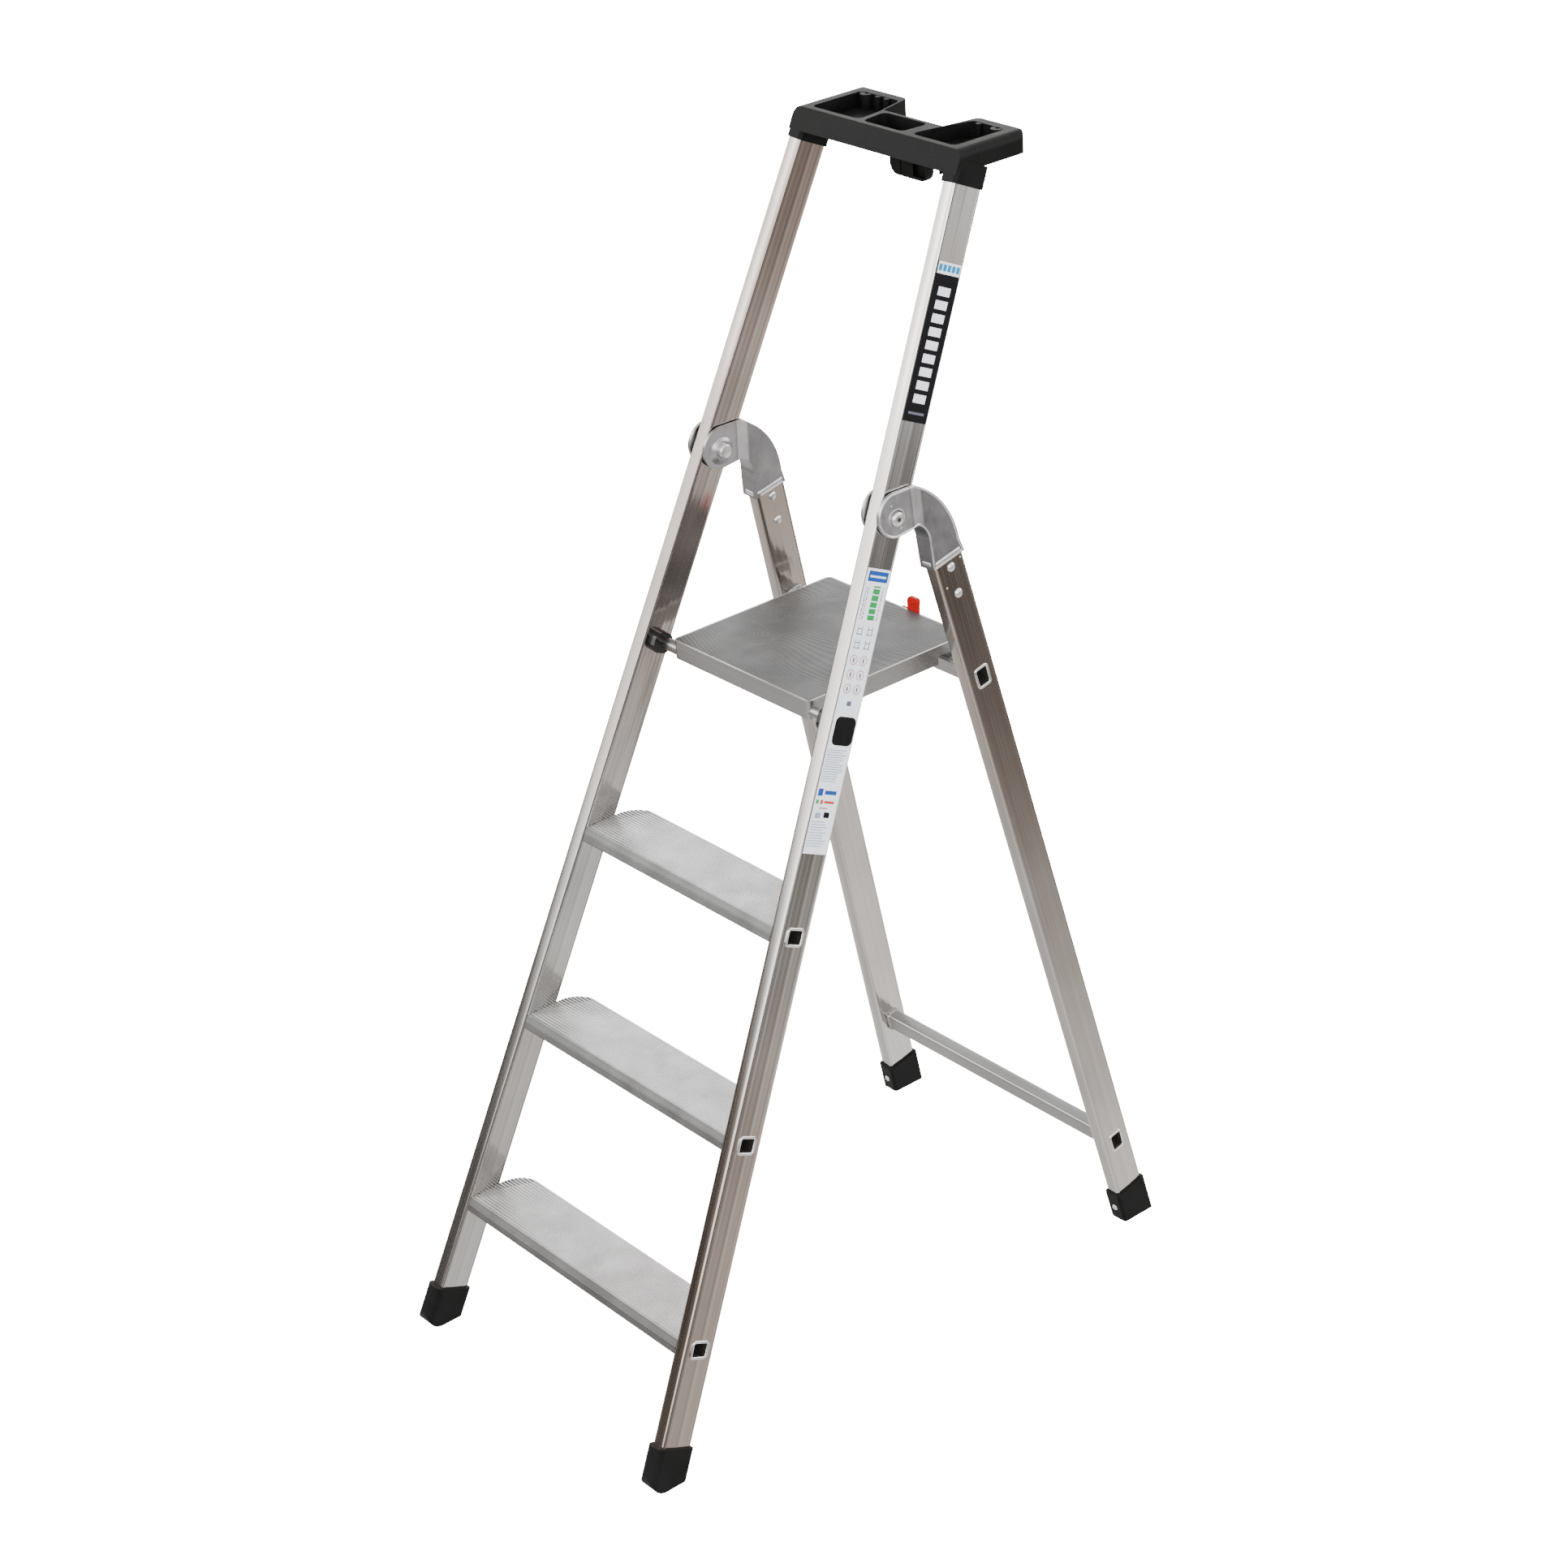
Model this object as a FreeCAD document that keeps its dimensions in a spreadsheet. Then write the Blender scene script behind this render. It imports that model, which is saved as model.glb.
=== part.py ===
import FreeCAD, Part
import Sketcher
import math
import os

# Platform step ladder, standing open.
# Row frame: +Z up, Z = 0 on the floor, X across the ladder, the climbing side faces -Y.

SIZES = [
    # overall stance
    ("front_foot_y", -445.3, "Y of the front stiles' front face at the floor"),
    ("front_half_width", 254.2, "X of the front stiles' outer face at the floor"),
    ("front_lean", 24.5, "front stiles' backward lean, degrees"),
    ("front_splay", 3.93, "front stiles' inward splay, degrees"),
    ("rear_foot_y", 397.2, "Y of the rear stiles' front face at the floor"),
    ("rear_half_width", 248.0, "X of the rear stiles' outer face at the floor"),
    ("rear_lean", 12.75, "rear stiles' forward lean, degrees"),
    ("rear_splay", 3.7, "rear stiles' inward splay, degrees"),
    # stile extrusion
    ("stile_depth", 47.0, "stile section, front to back"),
    ("stile_width", 21.0, "stile section, across the ladder"),
    ("stile_wall", 1.7, "stile wall"),
    ("stile_corner", 5.0, "stile outer corner radius"),
    ("front_stile_start", 27.0, "lower end of a front stile, along it"),
    ("front_stile_end", 1676.0, "upper end of a front stile, along it"),
    ("rear_stile_start", 5.0, "lower end of a rear stile, along it"),
    # treads
    ("tread_rise", 243.0, "rise from one tread to the next"),
    ("first_tread_height", 182.0, "top of the lowest tread"),
    ("tread_count", 3.0, "treads below the platform"),
    ("tread_setback", 2.6, "tread's front edge behind the stile's front face"),
    ("tread_depth", 86.5, "tread, front to back"),
    ("tread_face", 19.0, "height of the tread's slanted front face"),
    ("tread_box", 35.0, "depth of the box section under the tread's front"),
    ("tread_plate", 3.0, "thickness of the tread's top plate"),
    ("tread_lip", 12.0, "depth of the tread's rear lip"),
    ("tread_wall", 2.0, "tread wall"),
    ("tread_rear_corner", 35.0, "radius of the tread's rear corners in plan"),
    ("tread_tube_depth", 25.0, "tube through the stiles, across the stile"),
    ("tread_tube_height", 21.0, "tube through the stiles, along the stile"),
    ("tread_tube_drop", 5.0, "tube's centre below the tread's front edge, along the stile"),
    ("tube_corner", 4.0, "corner radius of the through tubes"),
    ("tube_wall", 2.0, "wall of the through tubes"),
    ("rim_width", 1.8, "width of a flared rim beyond its tube"),
    ("rim_thickness", 1.3, "how far a flared rim stands off the stile"),
    # rear crossbars
    ("bar_depth", 20.0, "rear crossbar, across the rear stile"),
    ("bar_height", 26.0, "rear crossbar, along the rear stile"),
    ("lower_bar_height", 130.5, "lower crossbar's centre above the floor"),
    ("upper_bar_height", 881.0, "upper crossbar's centre above the floor"),
    # hinge
    ("hinge_height", 1130.5, "hinge pin above the floor"),
    ("hinge_across", 27.0, "hinge pin behind the front stile's front face"),
    ("hinge_shank_radius", 5.0, "hinge bolt's shank radius"),
    ("hinge_clearance", 0.05, "radial clearance of the bolt in the bracket"),
    ("hinge_head_radius", 9.0, "hinge bolt's head radius"),
    ("hinge_head_height", 4.5, "hinge bolt's head height"),
    ("boss_radius", 22.0, "radius of the cone on the inner cheek"),
    ("boss_height", 4.0, "height of the cone on the inner cheek"),
    ("nut_radius", 9.0, "hinge nut's radius"),
    ("nut_height", 5.0, "hinge nut's height"),
    ("nut_socket", 6.0, "hinge nut's hexagon socket, across its corners"),
    ("washer_radius", 11.0, "friction washer radius"),
    ("washer_thickness", 0.9, "friction washer thickness"),
    ("cheek_gap", 1.8, "gap between the front stile and each bracket cheek"),
    ("cheek_thickness", 4.0, "bracket cheek thickness"),
    ("cheek_disc_radius", 28.5, "radius of the cheek's disc"),
    ("cheek_disc_rise", 4.5, "disc's centre above the pin"),
    ("bracket_proud", 2.2, "bracket's faces outside the rear stile's faces"),
    ("bracket_reach", 97.0, "pin to the bracket's lower rim, along the rear stile"),
    ("tongue_reach", 166.0, "pin to the end of the bracket's tongue, along the rear stile"),
    ("rivet_first", 108.0, "pin to the first rivet, along the rear stile"),
    ("rivet_pitch", 38.0, "distance between the rivets"),
    ("rivet_radius", 3.0, "rivet shank radius"),
    ("rivet_head_radius", 5.6, "rivet head radius"),
    ("rivet_head_height", 2.6, "rivet head height"),
    # platform
    ("platform_height", 911.0, "top of the platform"),
    ("platform_front_y", -13.9, "Y of the platform's front edge"),
    ("platform_depth", 265.0, "platform, front to back"),
    ("platform_width", 267.0, "platform, side to side"),
    ("platform_flange", 25.0, "depth of the platform's folded edges"),
    ("platform_sheet", 2.0, "platform sheet thickness"),
    ("platform_corner", 9.0, "radius of the platform's corners in plan"),
    ("pivot_y", -3.3, "Y of the platform's pivot"),
    ("pivot_height", 893.5, "platform's pivot above the floor"),
    ("pivot_tube_radius", 8.5, "platform's pivot tube, outer radius"),
    ("pivot_bore_radius", 6.8, "platform's pivot tube, inner radius"),
    ("bush_depth", 29.0, "pivot bush, across the stile"),
    ("bush_height", 27.0, "pivot bush, along the stile"),
    ("bush_corner", 9.0, "corner radius of the pivot bush"),
    ("bush_length", 12.0, "pivot bush, along the pivot"),
    ("bush_across", 23.0, "pivot bush's middle behind the stile's front face"),
    ("bush_spigot", 7.0, "radius of the bush's spigot in the stile wall"),
    ("bush_clearance", 0.06, "radial clearance of the tube in its bush"),
    ("plug_across", 25.7, "plug's middle behind the stile's front face"),
    ("plug_along", 992.5, "plug's middle, along the stile"),
    ("plug_width", 32.0, "outer plug, across the stile"),
    ("plug_height", 35.0, "outer plug, along the stile"),
    ("plug_thickness", 1.2, "outer plug's height above the stile"),
    # latch
    ("latch_x", 29.0, "latch's middle, across the ladder"),
    ("latch_width", 21.0, "latch width"),
    ("latch_pin_radius", 2.0, "latch pin radius"),
    ("latch_pin_drop", 14.0, "latch pin below the platform's top"),
    ("latch_pin_inset", 7.0, "latch pin in front of the platform's rear edge"),
    ("latch_finger_top", 17.0, "top of the latch's finger plate above the platform"),
    ("latch_finger_thickness", 2.8, "thickness of the latch's finger plate"),
    ("latch_gap", 0.7, "gap between the platform's rear edge and the finger plate"),
    # top tray
    ("tray_height", 1541.0, "top of the tray"),
    ("tray_depth_below", 27.0, "height of the tray's rim wall"),
    ("tray_half_width", 152.0, "tray's half width at its underside"),
    ("tray_front_y", 256.6, "Y of the tray's front edge at its top"),
    ("tray_rear_y", 360.1, "Y of the tray's two rear lobes"),
    ("tray_notch_y", 309.0, "Y of the tray's rear wall between the lobes"),
    ("tray_floor", 3.0, "thickness of the tray's floor"),
    ("socket_length", 22.0, "socket below the tray's underside, along the stile"),
    ("socket_wall", 3.0, "socket wall"),
    ("lug_half_width", 35.0, "half width of the hanging lug"),
    ("lug_height", 49.0, "lug below the tray's underside"),
    # feet
    ("front_foot_top", 66.0, "top of the front feet, along the stile"),
    ("rear_foot_top", 46.0, "top of the rear feet, along the stile"),
    ("foot_wall", 3.2, "foot wall"),
    ("front_foot_toe", 9.0, "front foot's wall in front of the stile"),
    ("front_foot_nose", 12.0, "front foot's front corner radius"),
    ("front_foot_roll", 22.0, "radius of the front foot's rolled toe"),
    # labels
    ("label_thickness", 0.3, "label thickness"),
]

SAFE_GAP = 0.02


def vec(x, y, z):
    return FreeCAD.Vector(x, y, z)


def make_sheet(doc):
    sheet = doc.addObject("Spreadsheet::Sheet", "Sizes")
    for row, (alias, value, meaning) in enumerate(SIZES, start=1):
        sheet.set("A%d" % row, meaning)
        sheet.set("B%d" % row, repr(value))
        sheet.setAlias("B%d" % row, alias)
    doc.recompute()
    return sheet


doc = FreeCAD.newDocument("platform_step_ladder")
sizes = make_sheet(doc)


def size(alias):
    return float(sizes.get(alias))


def bind(obj, **properties):
    """Bind each named property to an expression in the sheet's aliases."""
    for name, expression in properties.items():
        obj.setExpression(name, with_sheet(expression))


def with_sheet(expression):
    """Put the sheet's name before every alias in an expression."""
    words = []
    word = ""
    for mark in str(expression) + " ":
        if mark.isalnum() or mark == "_":
            word += mark
            continue
        if word in ALIASES:
            word = "Sizes." + word
        words.append(word + mark)
        word = ""
    return "".join(words).strip()


ALIASES = {alias for alias, _, _ in SIZES}


# ---------------------------------------------------------------- frames

def leaning_frame(half_width, foot_y, lean, splay, side=1):
    """A stile's own frame: origin at the floor on its outer front edge, X outwards, Z up the stile."""
    lean = math.radians(lean)
    splay = math.radians(splay)
    x_axis = vec(side * math.cos(splay), 0, math.sin(splay))
    z_axis = vec(-side * math.sin(splay) * math.cos(lean), math.sin(lean), math.cos(splay) * math.cos(lean))
    y_axis = z_axis.cross(x_axis) * side
    if side < 0:
        x_axis = x_axis * -1
    rotation = FreeCAD.Rotation(x_axis, y_axis, z_axis, "ZXY")
    return FreeCAD.Placement(vec(side * half_width, foot_y, 0), rotation)


def front_frame():
    return leaning_frame(
        size("front_half_width"), size("front_foot_y"), size("front_lean"), size("front_splay"))


def rear_frame():
    return leaning_frame(
        size("rear_half_width"), size("rear_foot_y"), -size("rear_lean"), size("rear_splay"))


def pin_point():
    """Where the hinge pin's axis crosses the front stile's outer face."""
    frame = front_frame()
    lean = math.radians(size("front_lean"))
    splay = math.radians(size("front_splay"))
    height = size("hinge_height") + size("hinge_across") * math.cos(splay) * math.sin(lean)
    along = height / (math.cos(splay) * math.cos(lean))
    return frame.multVec(vec(0, size("hinge_across"), along))


def bracket_frame():
    """The bracket's own frame: origin on the pin's axis, square to the rear stile's outer face."""
    splay = math.radians(size("rear_splay"))
    x_axis = vec(math.cos(splay), 0, math.sin(splay))
    z_axis = vec(-math.sin(splay), 0, math.cos(splay))
    pin = pin_point()
    return FreeCAD.Placement(pin, FreeCAD.Rotation(x_axis, vec(0, 1, 0), z_axis, "ZXY"))


def local(frame, x, y, z, rotation=None):
    inner = FreeCAD.Placement(vec(x, y, z), rotation or FreeCAD.Rotation())
    return frame.multiply(inner)


# ---------------------------------------------------------------- building blocks

def box(name, placement, length, width, height):
    obj = doc.addObject("Part::Box", name)
    bind(obj, Length=length, Width=width, Height=height)
    obj.Placement = placement
    return obj


def cylinder(name, placement, radius, height):
    obj = doc.addObject("Part::Cylinder", name)
    bind(obj, Radius=radius, Height=height)
    obj.Placement = placement
    return obj


def cut(name, base, tool):
    obj = doc.addObject("Part::Cut", name)
    obj.Base = base
    obj.Tool = tool
    return obj


def fuse(name, shapes):
    obj = doc.addObject("Part::MultiFuse", name)
    obj.Shapes = shapes
    return obj


def common(name, shapes):
    obj = doc.addObject("Part::MultiCommon", name)
    obj.Shapes = shapes
    return obj


def mirrored(name, source):
    obj = doc.addObject("Part::Mirroring", name)
    obj.Source = source
    obj.Base = vec(0, 0, 0)
    obj.Normal = vec(1, 0, 0)
    return obj


def origin_plane(body, role):
    return next(item for item in body.Origin.OriginFeatures if item.Role == role)


def new_sketch(body, name, role):
    sketch = body.newObject("Sketcher::SketchObject", name)
    sketch.AttachmentSupport = [(origin_plane(body, role), "")]
    sketch.MapMode = "FlatFace"
    return sketch


def rounded_rectangle(sketch, width, height, radius, start):
    """A rounded rectangle about the sketch's origin; width, height and radius are expressions."""
    w, h, r = start
    x, y = w / 2 - r, h / 2 - r
    z = vec(0, 0, 1)
    quarter = math.pi / 2
    corners = [(x, -y, -quarter), (x, y, 0), (-x, y, quarter), (-x, -y, 2 * quarter)]
    ends = [(-x, -h / 2, x, -h / 2), (w / 2, -y, w / 2, y), (x, h / 2, -x, h / 2), (-w / 2, y, -w / 2, -y)]
    for x0, y0, x1, y1 in ends:
        sketch.addGeometry(Part.LineSegment(vec(x0, y0, 0), vec(x1, y1, 0)))
    for cx, cy, angle in corners:
        circle = Part.Circle(vec(cx, cy, 0), z, r)
        sketch.addGeometry(Part.ArcOfCircle(circle, angle, angle + quarter))
    for i in range(4):
        sketch.addConstraint(Sketcher.Constraint("Tangent", i, 2, 4 + i, 1))
        sketch.addConstraint(Sketcher.Constraint("Tangent", 4 + i, 2, (i + 1) % 4, 1))
    for i in (0, 2):
        sketch.addConstraint(Sketcher.Constraint("Horizontal", i))
    for i in (1, 3):
        sketch.addConstraint(Sketcher.Constraint("Vertical", i))
    for i in (5, 6, 7):
        sketch.addConstraint(Sketcher.Constraint("Equal", 4, i))
    sketch.addConstraint(Sketcher.Constraint("Symmetric", 0, 1, 2, 1, -1, 1))
    sizes_of = [
        (Sketcher.Constraint("DistanceX", 3, 1, 1, 1, w), width),
        (Sketcher.Constraint("DistanceY", 0, 1, 2, 1, h), height),
        (Sketcher.Constraint("Radius", 4, r), radius),
    ]
    for constraint, expression in sizes_of:
        index = sketch.addConstraint(constraint)
        sketch.setExpression("Constraints[%d]" % index, with_sheet(expression))


def outline(sketch, corners):
    """A closed polygon; each corner is a pair of expressions measured from the sketch's origin."""
    points = [(evaluate(x), evaluate(y)) for x, y in corners]
    count = len(points)
    for i in range(count):
        x0, y0 = points[i]
        x1, y1 = points[(i + 1) % count]
        sketch.addGeometry(Part.LineSegment(vec(x0, y0, 0), vec(x1, y1, 0)))
    for i in range(count):
        sketch.addConstraint(Sketcher.Constraint("Coincident", i, 2, (i + 1) % count, 1))
    for i in range(count):
        for kind, number, expression in zip(("DistanceX", "DistanceY"), points[i], corners[i]):
            index = sketch.addConstraint(Sketcher.Constraint(kind, -1, 1, i, 1, number))
            sketch.setExpression("Constraints[%d]" % index, with_sheet(expression))


def evaluate(expression):
    value = sizes.evalExpression(with_sheet(expression))
    return float(getattr(value, "Value", value))


def rounded_bar(name, width, height, radius, length, role="XY_Plane", middle=False, wall=None):
    """A rounded-rectangle bar, or tube where wall is given, padded from one of its origin planes."""
    body = doc.addObject("PartDesign::Body", name)
    start = tuple(evaluate(item) for item in (width, height, radius))
    section = new_sketch(body, name + "_section", role)
    rounded_rectangle(section, width, height, radius, start)
    pad = body.newObject("PartDesign::Pad", name + "_pad")
    pad.Profile = section
    pad.Midplane = middle
    bind(pad, Length=length)
    doc.recompute()
    if wall:
        bore = new_sketch(body, name + "_bore", role)
        inner = ("%s - 2 * %s" % (width, wall), "%s - 2 * %s" % (height, wall), "%s - %s" % (radius, wall))
        rounded_rectangle(bore, *inner, tuple(evaluate(item) for item in inner))
        pocket = body.newObject("PartDesign::Pocket", name + "_hollow")
        pocket.Profile = bore
        pocket.Type = 1
        pocket.Midplane = True
        before = body.Shape.Volume
        doc.recompute()
        assert body.Shape.Volume < before, name + " hollow cuts nothing"
    return body


def splayed_block(name, half_width, splay, height="tray_height"):
    """The space between two splayed planes that meet the floor at +-half_width."""
    wedge = doc.addObject("Part::Wedge", name)
    top = "%s - %s * tan(%s)" % (half_width, height, splay)
    bind(wedge, Xmin="-(%s)" % half_width, Xmax=half_width, Ymin="0", Ymax=height)
    bind(wedge, X2min="-(%s)" % top, X2max=top)
    wedge.Zmin = wedge.Z2min = -700
    wedge.Zmax = wedge.Z2max = 700
    wedge.Placement = FreeCAD.Placement(vec(0, 0, 0), FreeCAD.Rotation(vec(1, 0, 0), 90))
    return wedge


def name_node(obj, node):
    obj.Label = node
    NODES.append(obj)
    return obj


NODES = []


# ---------------------------------------------------------------- stiles

def tread_top(index):
    return size("first_tread_height") + index * size("tread_rise")


def tread_edge_y(index):
    lean = math.radians(size("front_lean"))
    splay = math.radians(size("front_splay"))
    return size("front_foot_y") + tread_top(index) * math.tan(lean) / math.cos(splay) + size("tread_setback")


def tread_tube_centre(index):
    """Middle of a tread's through tube, in the plane of the ladder's side."""
    lean = math.radians(size("front_lean"))
    across = size("stile_depth") / 2 - size("tread_setback") * math.cos(lean)
    down = size("tread_tube_drop")
    y = tread_edge_y(index) + across * math.cos(lean) - down * math.sin(lean)
    z = tread_top(index) - across * math.sin(lean) - down * math.cos(lean)
    return y, z


def bar_centre(height):
    """Middle of a rear crossbar, in the plane of the ladder's side."""
    lean = math.radians(size("rear_lean"))
    y = size("rear_foot_y") - height * math.tan(lean) + size("stile_depth") / 2 / math.cos(lean)
    return y, height


BAR_HEIGHTS = {"lower": "lower_bar_height", "upper": "upper_bar_height"}


def tilt(degrees):
    return FreeCAD.Rotation(vec(1, 0, 0), degrees)


def hole_box(name, y, z, lean, depth, height):
    """A box through both stiles, square to a stile that leans by the given angle."""
    rotation = tilt(-lean)
    corner = rotation.multVec(vec(-400, -evaluate(depth) / 2, -evaluate(height) / 2))
    return box(name, FreeCAD.Placement(vec(0, y, z) + corner, rotation), "800", depth, height)


def front_stile():
    frame = front_frame()
    blank = rounded_bar(
        "front_stile_blank", "stile_width", "stile_depth", "stile_corner",
        "front_stile_end - front_stile_start", wall="stile_wall")
    blank.Placement = local(
        frame, -size("stile_width") / 2, size("stile_depth") / 2, size("front_stile_start"))
    holes = []
    for index in range(int(size("tread_count"))):
        y, z = tread_tube_centre(index)
        holes.append(hole_box(
            "front_stile_hole_%d" % index, y, z, size("front_lean"),
            "tread_tube_depth + 0.4", "tread_tube_height + 1.8"))
    pin = pin_point()
    turn = FreeCAD.Rotation(vec(0, 1, 0), 90)
    holes.append(cylinder(
        "front_stile_pin_hole", FreeCAD.Placement(vec(100, pin.y, pin.z), turn),
        "hinge_shank_radius + 0.02", "150"))
    pivot = pivot_in_stile()
    holes.append(cylinder(
        "front_stile_bush_hole", local(frame, -30, size("bush_across"), pivot.z, turn),
        "bush_spigot + 0.02", "15"))
    holes.append(plug_hole())
    stile = cut("front_stile_right", blank, fuse("front_stile_holes", holes))
    name_node(stile, "front_stile_right")
    name_node(mirrored("front_stile_left", stile), "front_stile_left")


def rear_along(reach):
    """Distance along the rear stile's own axis, from the floor, of a point below the pin."""
    lean = math.radians(size("rear_lean"))
    splay = math.radians(size("rear_splay"))
    pin = pin_point()
    forward = size("rear_foot_y") - pin.y
    along = pin.z * math.cos(lean) / math.cos(splay) + forward * math.sin(lean)
    return along - reach


def rear_stile():
    frame = rear_frame()
    top = rear_along(size("bracket_reach")) - 0.12
    blank = rounded_bar(
        "rear_stile_blank", "stile_width", "stile_depth", "stile_corner",
        "%.3f - rear_stile_start" % top, wall="stile_wall")
    blank.Placement = local(
        frame, -size("stile_width") / 2, size("stile_depth") / 2, size("rear_stile_start"))
    holes = []
    for label, alias in BAR_HEIGHTS.items():
        y, z = bar_centre(size(alias))
        holes.append(hole_box(
            "rear_stile_%s_hole" % label, y, z, -size("rear_lean"),
            "bar_depth + 0.4", "bar_height + 1.8"))
    turn = FreeCAD.Rotation(vec(0, 1, 0), 90)
    for index in range(2):
        along = rear_along(size("rivet_first") + index * size("rivet_pitch"))
        holes.append(cylinder(
            "rear_stile_rivet_hole_%d" % index, local(frame, -60, size("stile_depth") / 2, along, turn),
            "rivet_radius + 0.02", "80"))
    drill = FreeCAD.Rotation(vec(1, 0, 0), -90)
    holes.append(cylinder(
        "rear_stile_foot_rivet_hole", local(frame, -size("stile_width") / 2, -1, 22, drill),
        "rivet_radius + 0.02", "10"))
    stile = cut("rear_stile_right", blank, fuse("rear_stile_holes", holes))
    name_node(stile, "rear_stile_right")
    name_node(mirrored("rear_stile_left", stile), "rear_stile_left")


# ---------------------------------------------------------------- treads and crossbars

def slanted(across, along):
    """A point given across and along the stile, as (back, up) expressions."""
    back = "(%s) * cos(front_lean) + (%s) * sin(front_lean)" % (across, along)
    rise = "(%s) * cos(front_lean) - (%s) * sin(front_lean)" % (along, across)
    return back, rise


def under_plate(across, level):
    """A point at a given level, on the slanted line that is 'across' behind the front face."""
    along = "((%s) + (%s) * sin(front_lean)) / cos(front_lean)" % (level, across)
    return slanted(across, along)


def tread_profile(index):
    """The tread's extrusion: slanted box at the front, plate with a lip behind it."""
    body = doc.addObject("PartDesign::Body", "tread_%d_profile" % (index + 1))
    outer = new_sketch(body, "tread_%d_outer" % (index + 1), "YZ_Plane")
    outline(outer, [
        ("0", "0"),
        slanted("0", "-tread_face"),
        slanted("tread_box", "-tread_face"),
        under_plate("tread_box", "-tread_plate"),
        ("tread_depth - tread_plate", "-tread_plate"),
        ("tread_depth - tread_plate", "-tread_lip"),
        ("tread_depth", "-tread_lip"),
        ("tread_depth", "0"),
    ])
    pad = body.newObject("PartDesign::Pad", "tread_%d_pad" % (index + 1))
    pad.Profile = outer
    pad.Midplane = True
    bind(pad, Length="2 * front_half_width")
    doc.recompute()
    hollow = new_sketch(body, "tread_%d_inner" % (index + 1), "YZ_Plane")
    outline(hollow, [
        slanted("tread_wall", "tread_wall - tread_face"),
        slanted("tread_box - tread_wall", "tread_wall - tread_face"),
        under_plate("tread_box - tread_wall", "-tread_plate"),
        under_plate("tread_wall", "-tread_plate"),
    ])
    pocket = body.newObject("PartDesign::Pocket", "tread_%d_hollow" % (index + 1))
    pocket.Profile = hollow
    pocket.Type = 1
    pocket.Midplane = True
    before = body.Shape.Volume
    doc.recompute()
    assert body.Shape.Volume < before, "tread hollow cuts nothing"
    body.Placement = FreeCAD.Placement(vec(0, tread_edge_y(index), tread_top(index)), FreeCAD.Rotation())
    return body


def tread_plan(index, half_width):
    """The tread's outline from above: square front, large rounded rear corners."""
    plan = rounded_bar(
        "tread_%d_plan" % (index + 1), "2 * %.3f" % half_width, "2 * tread_depth", "tread_rear_corner", "80")
    edge = tread_edge_y(index)
    low = tread_top(index) - 60
    plan.Placement = FreeCAD.Placement(vec(0, edge, low), FreeCAD.Rotation())
    front = box(
        "tread_%d_front" % (index + 1),
        FreeCAD.Placement(vec(-half_width, edge - 40, low), FreeCAD.Rotation()),
        "2 * %.3f" % half_width, "40 + tread_box", "80")
    return fuse("tread_%d_outline" % (index + 1), [plan, front])


def rims(name, y, z, lean, depth, height, half_width, splay):
    """The flared rings that lock a through tube against both stiles' outer faces."""
    made = []
    for side in (1, -1):
        angle = math.radians(splay)
        face_x = side * (half_width - z * math.tan(angle))
        ring = rounded_bar(
            "%s_rim_%s" % (name, "right" if side > 0 else "left"),
            "%s + 2 * rim_width" % depth, "%s + 2 * rim_width" % height, "tube_corner + rim_width",
            "rim_thickness", role="YZ_Plane", wall="(rim_width + tube_wall / 2)")
        turn = FreeCAD.Rotation(vec(0, 1, 0), -side * splay)
        if side < 0:
            turn = turn.multiply(FreeCAD.Rotation(vec(0, 0, 1), 180))
            turn = turn.multiply(tilt(lean))
        else:
            turn = turn.multiply(tilt(-lean))
        ring.Placement = FreeCAD.Placement(vec(face_x + side * SAFE_GAP, y, z), turn)
        made.append(ring)
    return made


def through_tube(name, y, z, lean, depth, height, half_width, splay):
    """A tube that crosses both stiles, trimmed just outside their outer faces."""
    tube = rounded_bar(
        name + "_tube", depth, height, "tube_corner", "2 * front_half_width + 40",
        role="YZ_Plane", middle=True, wall="tube_wall")
    tube.Placement = FreeCAD.Placement(vec(0, y, z), tilt(-lean))
    reach = splayed_block(name + "_reach", "%s + rim_thickness / 2" % half_width, splay)
    return common(name + "_trimmed", [tube, reach])


def treads():
    splay = math.radians(size("front_splay"))
    for index in range(int(size("tread_count"))):
        node = "tread_%d" % (index + 1)
        inner = size("front_half_width") - size("stile_width") / math.cos(splay) - SAFE_GAP * 3
        half_width = inner - (tread_top(index) - 60) * math.tan(splay)
        between = splayed_block(node + "_between", "%.3f" % inner, "front_splay")
        plate = common(node + "_plate", [tread_profile(index), between, tread_plan(index, half_width)])
        y, z = tread_tube_centre(index)
        tube = through_tube(
            node, y, z, size("front_lean"), "tread_tube_depth", "tread_tube_height",
            "front_half_width", "front_splay")
        ring = rims(
            node, y, z, size("front_lean"), "tread_tube_depth", "tread_tube_height",
            size("front_half_width"), size("front_splay"))
        name_node(fuse(node, [plate, tube] + ring), node)


def crossbars():
    for label in BAR_HEIGHTS:
        node = label + "_crossbar"
        y, z = bar_centre(size(BAR_HEIGHTS[label]))
        tube = through_tube(
            node, y, z, -size("rear_lean"), "bar_depth", "bar_height", "rear_half_width", "rear_splay")
        ring = rims(
            node, y, z, -size("rear_lean"), "bar_depth", "bar_height",
            size("rear_half_width"), size("rear_splay"))
        name_node(fuse(node, [tube] + ring), node)



# ---------------------------------------------------------------- hinge

def stock(name, node, shape):
    """A sub-part whose shape is computed from the sheet's sizes."""
    obj = doc.addObject("Part::Feature", name)
    obj.Shape = shape
    return name_node(obj, node)


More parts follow.
